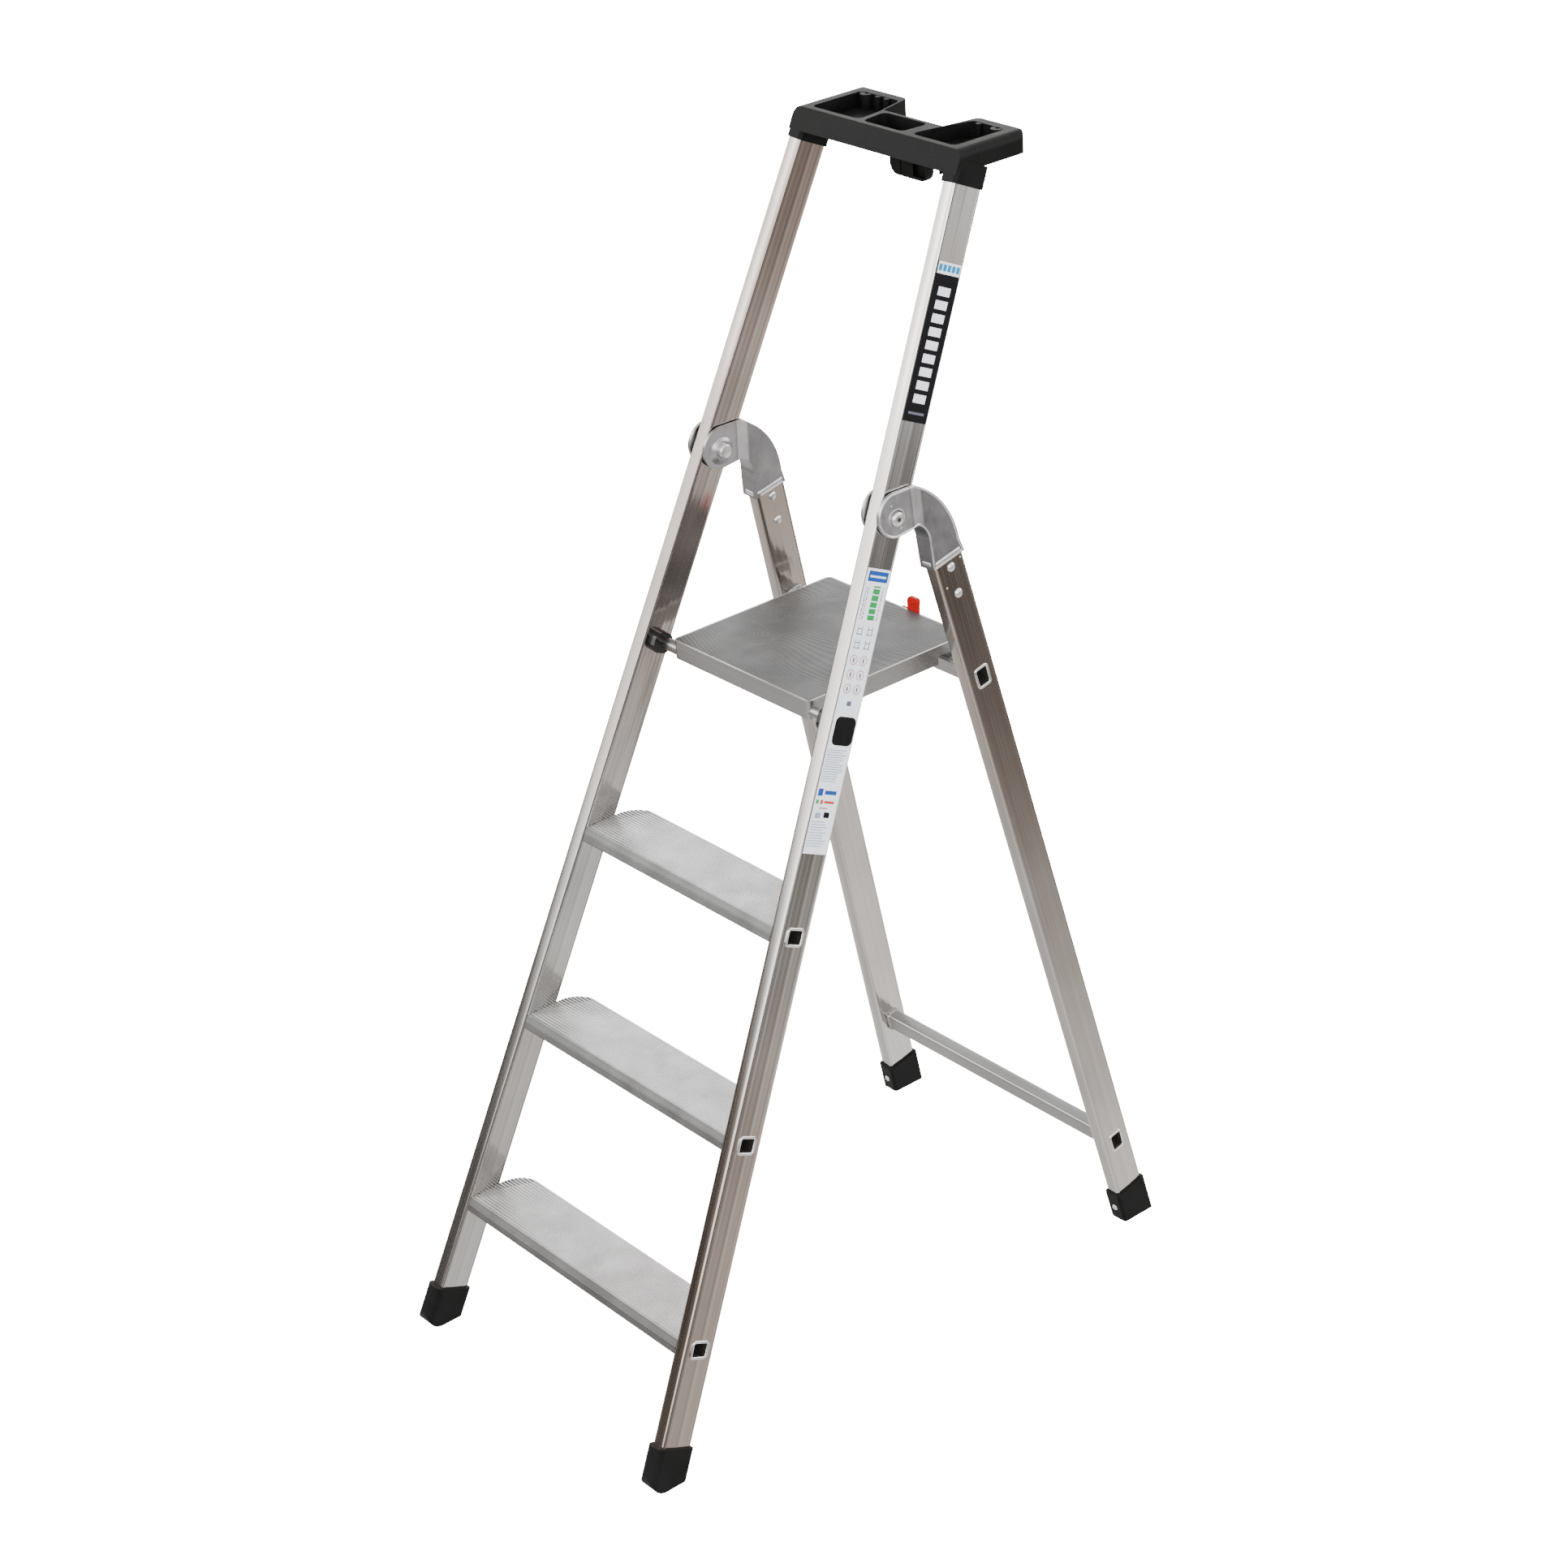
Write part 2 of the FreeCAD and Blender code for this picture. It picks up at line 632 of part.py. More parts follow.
def loop(points):
    """Joins points into a closed wire; a triple of points is an arc through its middle."""
    edges = []
    for start, end in zip(points, points[1:] + points[:1]):
        first = start[-1] if isinstance(start, tuple) else start
        if isinstance(end, tuple):
            edges.append(Part.LineSegment(first, end[0]).toShape())
            edges.append(Part.Arc(*end).toShape())
            continue
        edges.append(Part.LineSegment(first, end).toShape())
    return Part.Wire(edges)


def slab(points, x_low, x_high):
    """A side outline, as (y, z) pairs, extruded across the ladder."""
    turned = []
    for point in points:
        if len(point) == 3:
            turned.append(tuple(vec(x_low, y, z) for y, z in point))
        else:
            turned.append(vec(x_low, *point))
    return Part.Face(loop(turned)).extrude(vec(x_high - x_low, 0, 0))


def down_arm(behind, below):
    """A point of the bracket's side, given behind and below the pin in the rear stile's directions."""
    lean = math.radians(size("rear_lean"))
    y = behind * math.cos(lean) + below * math.sin(lean)
    z = behind * math.sin(lean) - below * math.cos(lean)
    return y, z


def pin_to_rear_stile():
    """How far the rear stile's front face is behind the pin."""
    lean = math.radians(size("rear_lean"))
    pin = pin_point()
    return (size("rear_foot_y") - pin.y) * math.cos(lean) - pin.z * math.sin(lean)


def bracket_outline():
    radius = size("cheek_disc_radius")
    rise = size("cheek_disc_rise")
    start = math.radians(-80)
    disc = (
        (radius * math.cos(start), rise + radius * math.sin(start)),
        (-radius, rise),
        (0, rise + radius),
    )
    face = pin_to_rear_stile()
    reach = size("bracket_reach")
    return [
        disc,
        ((31, 32.5), (77, -2), (99.5, -57)),
        down_arm(face + size("stile_depth"), reach),
        down_arm(face - size("bracket_proud") * 2, reach),
        ((52.6, -49.1), (45, -28), (33.3, -20)),
    ]


def sweep_of_front_stile():
    """What the front stile passes through between the cheeks, from standing to folded."""
    back = size("stile_depth") - size("hinge_across") + 1.6
    open_lean = math.tan(math.radians(size("front_lean")))
    shut_lean = math.tan(math.radians(size("rear_lean")))
    waist = back / math.cos(math.radians(size("front_lean")))
    return [(-60, 60), (waist + 60 * open_lean, 60), (waist, 0), (waist + 110 * shut_lean, -110), (-60, -110)]


def hinge_bracket():
    gap = size("cheek_gap")
    width = size("stile_width")
    outer = gap + size("cheek_thickness")
    inner = -width - gap - size("cheek_thickness")
    proud = size("bracket_proud")
    shape = slab(bracket_outline(), inner, outer)
    shape = shape.cut(slab(sweep_of_front_stile(), -width - gap, gap))
    arm_outer = proud - 1.4
    arm_inner = -width - proud - 1.4
    ramp = [(24, 60), (46, 60), (49, -110), (29, -110)]
    for face, arm in ((outer, arm_outer), (inner, arm_inner)):
        step = Part.makeLoft([
            Part.Wire(loop([vec(face, y, z) for y, z in (ramp[0], (140, 60), (140, -110), ramp[3])])),
            Part.Wire(loop([vec(arm, y, z) for y, z in (ramp[1], (140, 60), (140, -110), ramp[2])])),
        ], True)
        beyond = slab([ramp[0], (140, 60), (140, -110), ramp[3]], face, face + math.copysign(5, face))
        shape = shape.cut(step).cut(beyond)
    shape = shape.fuse(bracket_tongue())
    shape = shape.fuse(bracket_boss(inner))
    bore_radius = size("hinge_shank_radius") + size("hinge_clearance")
    bore = Part.makeCylinder(bore_radius, 90, across() * -60, across())
    seat = Part.makeCylinder(size("hinge_head_radius") + 0.6, 20, across() * (outer - 0.8), across())
    shape = shape.cut(bore).cut(seat)
    holes = rivet_cylinders(size("rivet_radius") + SAFE_GAP, 60, -45)
    for hole in holes:
        shape = shape.cut(hole)
    obj = stock("hinge_bracket", "hinge_bracket_right", shape.removeSplitter())
    obj.Placement = bracket_frame()
    name_node(mirrored("hinge_bracket_left", obj), "hinge_bracket_left")


def across():
    """The hinge axis, seen in the bracket's own frame."""
    return bracket_frame().Rotation.inverted().multVec(vec(1, 0, 0))


def bracket_tongue():
    """The solid tongue that fills the top of the rear stile."""
    clearance = size("stile_wall") + SAFE_GAP
    frame = bracket_frame().inverse().multiply(rear_frame())
    low = rear_along(size("tongue_reach"))
    high = rear_along(size("bracket_reach")) + 5
    tongue = Part.makeBox(
        size("stile_width") - 2 * clearance, size("stile_depth") - 2 * clearance, high - low,
        vec(-size("stile_width") + clearance, clearance, low))
    edges = [edge for edge in tongue.Edges if abs(edge.Length - (high - low)) < 0.01]
    tongue = tongue.makeFillet(size("stile_corner") - clearance, edges)
    tongue.Placement = frame
    return tongue


def bracket_boss(inner):
    """The cone that carries the hinge nut on the inner cheek."""
    way = across() * -1
    base = across() * (inner + 3)
    return Part.makeCone(size("boss_radius"), size("nut_radius") + 4, size("boss_height") + 3, base, way)


def rivet_cylinders(radius, length, start):
    """One cylinder per rivet of a bracket, square to the rear stile's side."""
    made = []
    frame = bracket_frame().inverse().multiply(rear_frame())
    for index in range(2):
        along = rear_along(size("rivet_first") + index * size("rivet_pitch"))
        rod = Part.makeCylinder(radius, length, vec(start, size("stile_depth") / 2, along), vec(1, 0, 0))
        rod.Placement = frame
        made.append(rod)
    return made


def dome(radius, height, base, way):
    """A low rivet head: the cap of a sphere."""
    ball = (radius * radius + height * height) / (2 * height)
    sphere = Part.makeSphere(ball, base - way * (ball - height))
    keep = Part.makeCylinder(radius + 1, height + 1, base, way)
    return sphere.common(keep)


def bracket_rivets():
    frame = rear_frame()
    width = size("stile_width")
    made = []
    for index in range(2):
        along = rear_along(size("rivet_first") + index * size("rivet_pitch"))
        middle = size("stile_depth") / 2
        radius = size("rivet_radius")
        shank = Part.makeCylinder(radius, width, vec(-width, middle, along), vec(1, 0, 0))
        for x, way in ((0, 1), (-width, -1)):
            head = dome(size("rivet_head_radius"), size("rivet_head_height"),
                        vec(x + way * SAFE_GAP, middle, along), vec(way, 0, 0))
            neck = Part.makeCylinder(radius, 1, vec(x - way * 0.5, middle, along), vec(way, 0, 0))
            shank = shank.fuse([head, neck])
        shank = shank.removeSplitter()
        shank.Placement = frame
        made.append(shank)
    both = made + [rivet.mirror(vec(0, 0, 0), vec(1, 0, 0)) for rivet in made]
    stock("bracket_rivets", "bracket_rivets", Part.makeCompound(both))


def hinge_fasteners():
    pin = pin_point()
    way = vec(1, 0, 0)
    face = size("cheek_gap") + size("cheek_thickness") - 0.8
    head_at = pin + way * (face + 0.35)
    boss = size("cheek_gap") + size("cheek_thickness") + size("boss_height") + size("stile_width")
    nut_at = pin - way * (boss + 0.35)
    radius = size("hinge_shank_radius")
    shank = Part.makeCylinder(radius, (head_at - nut_at).x + 2.5, nut_at - way * 2, way)
    head = Part.makeCylinder(size("hinge_head_radius"), size("hinge_head_height") * 0.5, head_at, way)
    crown = dome(size("hinge_head_radius") - 2, size("hinge_head_height") * 0.5,
                 head_at + way * size("hinge_head_height") * 0.5, way)
    bolt = shank.fuse([head, crown]).removeSplitter()
    nut = Part.makeCylinder(size("nut_radius"), size("nut_height"), nut_at, way * -1)
    nut = nut.makeFillet(1.5, [edge for edge in nut.Edges if abs(edge.CenterOfMass.x - nut_at.x) > 4
                               and edge.Length > 20])
    bore = Part.makeCylinder(radius + SAFE_GAP, 3, nut_at + way, way * -1)
    corners = [nut_at - way * (size("nut_height") + 1) + vec(0, *hexagon_corner(i, size("nut_socket")))
               for i in range(6)]
    socket = Part.Face(Part.makePolygon(corners + corners[:1])).extrude(way * 3.5)
    nut = nut.cut(bore).cut(socket)
    for name, shape in (("hinge_bolt", bolt), ("hinge_nut", nut)):
        obj = stock(name, name + "_right", shape)
        name_node(mirrored(name + "_left", obj), name + "_left")


def hexagon_corner(index, radius):
    angle = math.radians(60 * index)
    return radius * math.cos(angle), radius * math.sin(angle)


def hinge_washers():
    frame = front_frame()
    pin = frame.inverse().multVec(pin_point())
    made = []
    width = size("stile_width")
    axis = frame.Rotation.inverted().multVec(vec(1, 0, 0))
    for x, way in ((SAFE_GAP, 1), (-width - SAFE_GAP, -1)):
        centre = pin + axis * ((x - pin.x) / axis.x)
        ring = Part.makeCylinder(size("washer_radius"), size("washer_thickness"), centre, vec(way, 0, 0))
        ring = ring.cut(Part.makeCylinder(
            size("hinge_shank_radius") + 0.3, 10, centre - vec(way * 5, 0, 0), vec(way, 0, 0)))
        ring.Placement = frame
        made.append(ring)
    made += [ring.mirror(vec(0, 0, 0), vec(1, 0, 0)) for ring in made]
    stock("hinge_washers", "hinge_washers", Part.makeCompound(made))


# ---------------------------------------------------------------- platform

def platform():
    deck = rounded_bar(
        "platform_shell", "platform_width", "platform_depth", "platform_corner", "platform_flange")
    hollow = rounded_bar(
        "platform_inside", "platform_width - 2 * platform_sheet", "platform_depth - 2 * platform_sheet",
        "platform_corner - platform_sheet", "platform_flange")
    middle_y = size("platform_front_y") + size("platform_depth") / 2
    low = size("platform_height") - size("platform_flange")
    deck.Placement = FreeCAD.Placement(vec(0, middle_y, low), FreeCAD.Rotation())
    hollow.Placement = FreeCAD.Placement(vec(0, middle_y, low - size("platform_sheet")), FreeCAD.Rotation())
    straight = FreeCAD.Rotation()
    turn = FreeCAD.Rotation(vec(0, 1, 0), 90)
    tube_hole = cylinder(
        "platform_tube_hole", FreeCAD.Placement(vec(-200, size("pivot_y"), size("pivot_height")), turn),
        "pivot_tube_radius + 0.02", "400")
    bar_y = bar_centre(size("upper_bar_height"))[0]
    notch = box(
        "platform_bar_notch", FreeCAD.Placement(vec(-200, bar_y - 22, low - 1), straight),
        "400", "40", "12")
    rear_edge = size("platform_front_y") + size("platform_depth")
    gate_x = size("latch_x") - size("latch_width") / 2 - 0.8
    gate = box(
        "platform_latch_gate", FreeCAD.Placement(vec(gate_x, rear_edge - 7, low - 1), straight),
        "latch_width + 1.6", "20", "platform_flange - platform_sheet - 1")
    shell = cut("platform_folded", deck, fuse("platform_cuts", [hollow, tube_hole, notch, gate]))
    pin_y, pin_z = latch_pin_at()
    ears = []
    for side in (-1, 1):
        x = size("latch_x") + side * (size("latch_width") / 2 + 1.8) - 1
        ears.append(box(
            "platform_ear_%d" % (side + 1), FreeCAD.Placement(vec(x, pin_y - 6, pin_z - 5), straight),
            "2", "11", "latch_pin_drop + 4"))
    ear_hole = cylinder(
        "platform_ear_hole", FreeCAD.Placement(vec(-20, pin_y, pin_z), turn),
        "latch_pin_radius + 0.02", "100")
    drilled = cut("platform_ears", fuse("platform_ear_pair", ears), ear_hole)
    name_node(fuse("platform_deck", [shell, drilled]), "platform_deck")
    tube = tube_between_bushes()
    name_node(tube, "platform_pivot_tube")
    pin = cylinder(
        "latch_pin",
        FreeCAD.Placement(vec(size("latch_x") - size("latch_width") / 2 - 4, pin_y, pin_z), turn),
        "latch_pin_radius", "latch_width + 8")
    name_node(pin, "latch_pin")


def latch_pin_at():
    rear_edge = size("platform_front_y") + size("platform_depth")
    return rear_edge - size("latch_pin_inset"), size("platform_height") - size("latch_pin_drop")


def stile_inner_x(height):
    """X of the front stiles' inner faces at a given height."""
    splay = math.radians(size("front_splay"))
    return size("front_half_width") - height * math.tan(splay) - size("stile_width") / math.cos(splay)


def tube_between_bushes():
    end = stile_inner_x(size("pivot_height")) - 1.5
    body = doc.addObject("PartDesign::Body", "pivot_tube")
    section = new_sketch(body, "pivot_tube_section", "YZ_Plane")
    for alias in ("pivot_tube_radius", "pivot_bore_radius"):
        index = section.addGeometry(Part.Circle(vec(0, 0, 0), vec(0, 0, 1), size(alias)))
        section.addConstraint(Sketcher.Constraint("Coincident", index, 3, -1, 1))
        rule = section.addConstraint(Sketcher.Constraint("Radius", index, size(alias)))
        section.setExpression("Constraints[%d]" % rule, with_sheet(alias))
    pad = body.newObject("PartDesign::Pad", "pivot_tube_pad")
    pad.Profile = section
    pad.Midplane = True
    bind(pad, Length="2 * %.3f" % end)
    body.Placement = FreeCAD.Placement(vec(0, size("pivot_y"), size("pivot_height")), FreeCAD.Rotation())
    return body


def pivot_in_stile():
    """The platform pivot in the front stile's own frame."""
    frame = front_frame()
    height = size("pivot_height")
    return frame.inverse().multVec(vec(stile_inner_x(height), size("pivot_y"), height))


def pivot_bushes():
    frame = front_frame()
    pivot = pivot_in_stile()
    body = rounded_bar(
        "pivot_bush_block", "bush_depth", "bush_height", "bush_corner", "bush_length", role="YZ_Plane")
    width = size("stile_width")
    body.Placement = local(frame, -width - size("bush_length") - SAFE_GAP, size("bush_across"), pivot.z)
    turn = FreeCAD.Rotation(vec(0, 1, 0), 90)
    spigot = cylinder(
        "pivot_bush_spigot", local(frame, -width - 1, size("bush_across"), pivot.z, turn), "bush_spigot", "6")
    bore = cylinder(
        "pivot_bush_bore", FreeCAD.Placement(vec(0, size("pivot_y"), size("pivot_height")), turn),
        "pivot_tube_radius + bush_clearance", "%.3f" % (stile_inner_x(size("pivot_height")) - 0.8))
    bush = cut("pivot_bush", fuse("pivot_bush_solid", [body, spigot]), bore)
    name_node(bush, "pivot_bush_right")
    name_node(mirrored("pivot_bush_left", bush), "pivot_bush_left")


def plug_hole():
    frame = front_frame()
    body = rounded_bar(
        "plug_hole", "plug_width - 6", "plug_height - 7", "4", "8", role="YZ_Plane")
    body.Placement = local(frame, -4, size("plug_across"), size("plug_along"))
    return body


def pivot_plugs():
    frame = front_frame()
    flange = rounded_bar(
        "pivot_plug_flange", "plug_width", "plug_height", "7", "plug_thickness", role="YZ_Plane")
    flange.Placement = local(frame, SAFE_GAP, size("plug_across"), size("plug_along"))
    spigot = rounded_bar(
        "pivot_plug_spigot", "plug_width - 6.04", "plug_height - 7.04", "4", "5", role="YZ_Plane")
    spigot.Placement = local(frame, -4, size("plug_across"), size("plug_along"))
    plug = fuse("pivot_plug", [flange, spigot])
    name_node(plug, "pivot_plug_right")
    name_node(mirrored("pivot_plug_left", plug), "pivot_plug_left")


def release_latch():
    """A thumb plate behind the deck's rear edge, with a nose that hooks under the crossbar."""
    pin_y, pin_z = latch_pin_at()
    half = size("latch_width") / 2
    middle = size("latch_x")
    back = size("platform_front_y") + size("platform_depth") + size("latch_gap")
    thick = size("latch_finger_thickness")
    top = size("platform_height") + size("latch_finger_top")
    nose = slab([
        (pin_y - 5.5, pin_z - 8), (pin_y - 2, pin_z - 10), (back + thick, pin_z - 10),
        (back + thick, pin_z + 5), (back, pin_z + 5), (pin_y + 1, pin_z + 5.5), (pin_y - 4, pin_z + 4),
    ], middle - half, middle + half)
    finger = slab([
        (back, pin_z), (back + thick, pin_z), (back + thick + 0.8, top - 8), (back + thick + 3.2, top),
        (back + 1.4, top + 0.4), (back + 0.4, top - 7),
    ], middle - half, middle + half)
    finger = finger.common(thumb_outline(middle, half, pin_z - 20, top + 5, back - 2))
    tab = Part.makeBox(half + 8, 6, 3, vec(middle - half - 13.5, back, size("platform_height") - 5))
    latch = nose.fuse([finger, tab]).removeSplitter()
    bore = Part.makeCylinder(size("latch_pin_radius") + 0.06, 200, vec(-100, pin_y, pin_z), vec(1, 0, 0))
    stock("latch_blank", "release_latch", latch.cut(bore))


def thumb_outline(middle, half, low, high, start):
    """The thumb plate seen from behind, with a rounded upper corner on each side."""
    block = Part.makeBox(2 * half, 20, high - 5 - low, vec(middle - half, start, low))
    tops = [edge for edge in block.Edges
            if edge.BoundBox.YLength > 19 and edge.CenterOfMass.z > high - 6]
    return block.makeFillet(5, tops)


# ---------------------------------------------------------------- top tray

def plan_slab(points, low, high):
    face = Part.Face(Part.makePolygon([vec(x, y, low) for x, y in points + points[:1]]))
    return face.extrude(vec(0, 0, high - low))


def rounded(shape, radius, chosen):
    """Fillets the upright edges whose corner the chooser accepts."""
    edges = []
    for edge in shape.Edges:
        start, end = (vertex.Point for vertex in edge.Vertexes[:2])
        if abs(start.x - end.x) < 0.01 and abs(start.y - end.y) < 0.01 and chosen(start.x, start.y):
            edges.append(edge)
    return shape.makeFillet(radius, edges)


def tray_outline(inset):
    side = size("tray_half_width") - inset
    front = size("tray_front_y") - 16 + inset
    rear = size("tray_rear_y") - inset
    notch = size("tray_notch_y") - inset
    return [
        (-side, front), (side, front), (side, rear), (69 + inset, rear),
        (61, notch), (-46, notch), (-59 - inset, rear), (-side, rear),
    ]


def crown(inset):
    """The tray seen from the front, with rounded shoulders."""
    side = size("tray_half_width") - inset
    top = size("tray_height") - inset
    radius = 12.0 - inset / 2
    bend = radius * (1 - math.sqrt(0.5))
    y = 150
    points = [
        vec(-side - 1, y, 1440), vec(side + 1, y, 1440), vec(side + 1, y, 1500),
        (vec(side, y, top - radius), vec(side - bend, y, top - bend), vec(side - radius, y, top)),
        (vec(-side + radius, y, top), vec(-side + bend, y, top - bend), vec(-side, y, top - radius)),
        vec(-side - 1, y, 1500),
    ]
    return Part.Face(loop(points)).extrude(vec(0, 250, 0))


def behind_front_plane(inset):
    """Everything behind the tray's front face, which leans with the front stiles."""
    lean = math.radians(size("front_lean"))
    big = Part.makeBox(500, 300, 300, vec(-250, 0, -150))
    big.Placement = FreeCAD.Placement(
        vec(0, size("tray_front_y") + inset / math.cos(lean), size("tray_height")), tilt(-size("front_lean")))
    return big


def tray_pockets(grow):
    """Three open pockets, from left to right."""
    front = size("tray_front_y") + 8
    rear = size("tray_rear_y") - 13
    middle = size("tray_notch_y") - 5.5
    plans = [
        [(-130, front), (-41, front), (-46, front + 38), (-59, rear), (-130, rear)],
        [(-33, front - 1), (38, front - 1), (41, middle), (-38, middle)],
        [(53, front), (130, front), (130, rear), (74, rear), (61, front + 38)],
    ]
    made = []
    for plan in plans:
        centre_x = sum(x for x, _ in plan) / len(plan)
        centre_y = sum(y for _, y in plan) / len(plan)
        grown = []
        for x, y in plan:
            grown.append((x + math.copysign(grow, x - centre_x), y + math.copysign(grow, y - centre_y)))
        low = size("tray_height") - 19 - grow
        block = plan_slab(grown, low, size("tray_height") + 1 - grow)
        made.append(rounded(block, 8 + grow, lambda x, y: True))
    return made


def tray_columns(radius_growth):
    """Round columns down the pockets' rear walls, two of them for screws."""
    rear = size("tray_rear_y") - 13
    low = size("tray_height") - 24
    columns = []
    for x, radius in ((-118, 8.5), (-96, 4.0), (-80, 4.0), (118, 8.5), (86, 4.0)):
        base = vec(x, rear - 2, low)
        columns.append(Part.makeCylinder(radius + radius_growth, size("tray_height") - low - 0.4, base))
    return columns


def socket_block(grow, low, high):
    """A block round the top of the right front stile, in that stile's own directions."""
    block = Part.makeBox(
        size("stile_width") + 2 * grow, size("stile_depth") + 2 * grow, high - low,
        vec(-size("stile_width") - grow, -grow, low))
    edges = [edge for edge in block.Edges if abs(edge.Length - (high - low)) < 0.01]
    block = block.makeFillet(size("stile_corner") + grow, edges)
    block.Placement = front_frame()
    return block


def both_sides(shape):
    return [shape, shape.mirror(vec(0, 0, 0), vec(1, 0, 0))]


def top_tray():
    top = size("tray_height")
    low = top - size("tray_depth_below")
    floor = size("tray_floor")
    outer = rounded(plan_slab(tray_outline(0), low, top), 9, lambda x, y: y > 320)
    outer = outer.common(crown(0)).common(behind_front_plane(0))
    inner = plan_slab(tray_outline(floor), low - 1, top - floor)
    inner = inner.common(crown(floor)).common(behind_front_plane(floor))
    tray = outer.cut(inner)
    tray = tray.fuse([block.common(outer) for block in tray_pockets(floor)])
    end = size("front_stile_end")
    sockets = both_sides(socket_block(size("socket_wall"), end - size("socket_length") + 4, end + 10))
    below_top = Part.makeBox(400, 300, 200, vec(-200, 150, top - floor / 2 - 200))
    tray = tray.fuse([socket.common(below_top).common(behind_front_plane(0)) for socket in sockets])
    tray = tray.fuse([shape.common(below_top) for shape in socket_gussets()])
    tray = tray.fuse(tray_lug())
    for pocket in tray_pockets(0):
        tray = tray.cut(pocket.cut(tray_columns(0)))
    for stile in both_sides(socket_block(SAFE_GAP, 1500, end + 0.2)):
        tray = tray.cut(stile)
    for side in (-1, 1):
        screw_hole = Part.makeCylinder(2.6, 60, vec(side * 118, size("tray_rear_y") - 15, top - 50))
        tray = tray.cut(screw_hole)
    stock("tray_moulding", "top_tray", tray.removeSplitter())


def socket_gussets():
    """Thin ribs from each socket's inner side to the tray's front wall."""
    low = size("tray_height") - size("tray_depth_below") - 11
    high = size("tray_height") - size("tray_floor") + 0.5
    base = size("tray_half_width") - size("tray_floor") - size("stile_width") - size("socket_wall")
    ribs = []
    for step in (4.0, 12.0):
        rib = Part.makeBox(2.2, 24, high - low, vec(base - step - 6, size("tray_front_y") + 2, low))
        ribs += both_sides(rib.common(behind_front_plane(1)))
    return ribs


def tray_lug():
    """The solid tab that hangs under the middle of the tray."""
    half = size("lug_half_width")
    high = size("tray_height") - size("tray_floor") + 0.5
    low = size("tray_height") - size("tray_depth_below") - size("lug_height")
    y = size("tray_front_y") + 49.0
    corner = 14.0
    bend = corner * (1 - math.sqrt(0.5))
    block = Part.Face(loop([
        vec(-half, y, high),
        (vec(-half, y, low + corner), vec(-half + bend, y, low + bend), vec(-half + corner, y, low)),
        (vec(half - corner, y, low), vec(half - bend, y, low + bend), vec(half, y, low + corner)),
        vec(half, y, high),
    ])).extrude(vec(0, 9, 0))
    recess = Part.makeBox(22, 7, high - low - 8, vec(7, y - 1, low + 4))
    groove = Part.makeBox(1.6, 3, high - low, vec(-16, y - 1, low - 1))
    return block.cut(recess).cut(groove)


# ---------------------------------------------------------------- feet

def above_floor():
    return Part.makeBox(1200, 1200, 400, vec(-600, -600, 0))


def foot(frame, top, start, front_wall, front_radius):
    """A cup round the lower end of a stile, cut off flat on the floor."""
    wall = size("foot_wall")
    width = size("stile_width")
    depth = size("stile_depth")
    block = Part.makeBox(
        width + 2 * wall, depth + wall + front_wall, top + 60, vec(-width - wall, -front_wall, -60))
    block = round_uprights(block, front_radius, lambda y: y < 0)
    block = round_uprights(block, 4.5, lambda y: y > depth)
    block.Placement = frame
    cup = Part.makeBox(
        width + 2 * SAFE_GAP, depth + 2 * SAFE_GAP, top + 60,
        vec(-width - SAFE_GAP, -SAFE_GAP, start - SAFE_GAP))
    cup = round_uprights(cup, size("stile_corner"), lambda y: True)
    cup.Placement = frame
    return block.common(above_floor()).cut(cup)


def round_uprights(block, radius, chosen):
    """Fillets a straight block's long edges whose depth the chooser accepts."""
    length = block.BoundBox.ZLength
    edges = [edge for edge in block.Edges
             if abs(edge.BoundBox.ZLength - length) < 0.01 and len(edge.Vertexes) == 2
             and chosen(edge.CenterOfMass.y) and is_sharp(block, edge)]
    return block.makeFillet(radius, edges)


def is_sharp(block, edge):
    """Whether an edge is one of a block's square corners."""
    faces = [face for face in block.Faces if any(edge.isSame(other) for other in face.Edges)]
    return all(isinstance(face.Surface, Part.Plane) for face in faces)


def rolled_toe():
    """Everything behind a toe that rolls up from the floor into the front foot's front."""
    lean = math.radians(size("front_lean"))
    radius = size("front_foot_roll")
    tip = size("front_foot_y") - size("front_foot_toe") / math.cos(lean) - 0.3
    reach = radius / math.tan((math.pi / 2 - lean) / 2)
    centre_y = tip + reach
    half_way = 1.25 * math.pi - lean / 2
    middle = (centre_y + radius * math.cos(half_way), radius + radius * math.sin(half_way))
    face = (tip + reach * math.sin(lean), reach * math.cos(lean))
    high = 200
    return slab([
        (face, middle, (centre_y, 0)), (centre_y + 200, 0), (centre_y + 200, high),
        (tip + high * math.tan(lean), high),
    ], 150, 350)


def feet():
    shape = foot(
        front_frame(), size("front_foot_top"), size("front_stile_start"), size("front_foot_toe"),
        size("front_foot_nose"))
    obj = stock("front_foot", "front_foot_right", shape.common(rolled_toe()))
    name_node(mirrored("front_foot_left", obj), "front_foot_left")
    shape = foot(rear_frame(), size("rear_foot_top"), size("rear_stile_start"), size("foot_wall"), 4.5)
    hole = foot_rivet(size("rivet_radius") + SAFE_GAP, False)
    obj = stock("rear_foot", "rear_foot_right", shape.cut(hole))
    name_node(mirrored("rear_foot_left", obj), "rear_foot_left")
    rivet = foot_rivet(size("rivet_radius"), True)
    stock("rear_foot_rivets", "rear_foot_rivets", Part.makeCompound(both_sides(rivet)))


def foot_rivet(radius, with_head):
    """A rivet through the front of a rear foot into its stile."""
    width = size("stile_width")
    base = vec(-width / 2, -size("foot_wall"), 22)
    rod = Part.makeCylinder(radius, size("foot_wall") + 4, base + vec(0, -0.5, 0), vec(0, 1, 0))
    if with_head:
        head = dome(4.5, 2.0, base + vec(0, -SAFE_GAP, 0), vec(0, -1, 0))
        rod = rod.fuse(head).removeSplitter()
    rod.Placement = rear_frame()
    return rod


# ---------------------------------------------------------------- labels

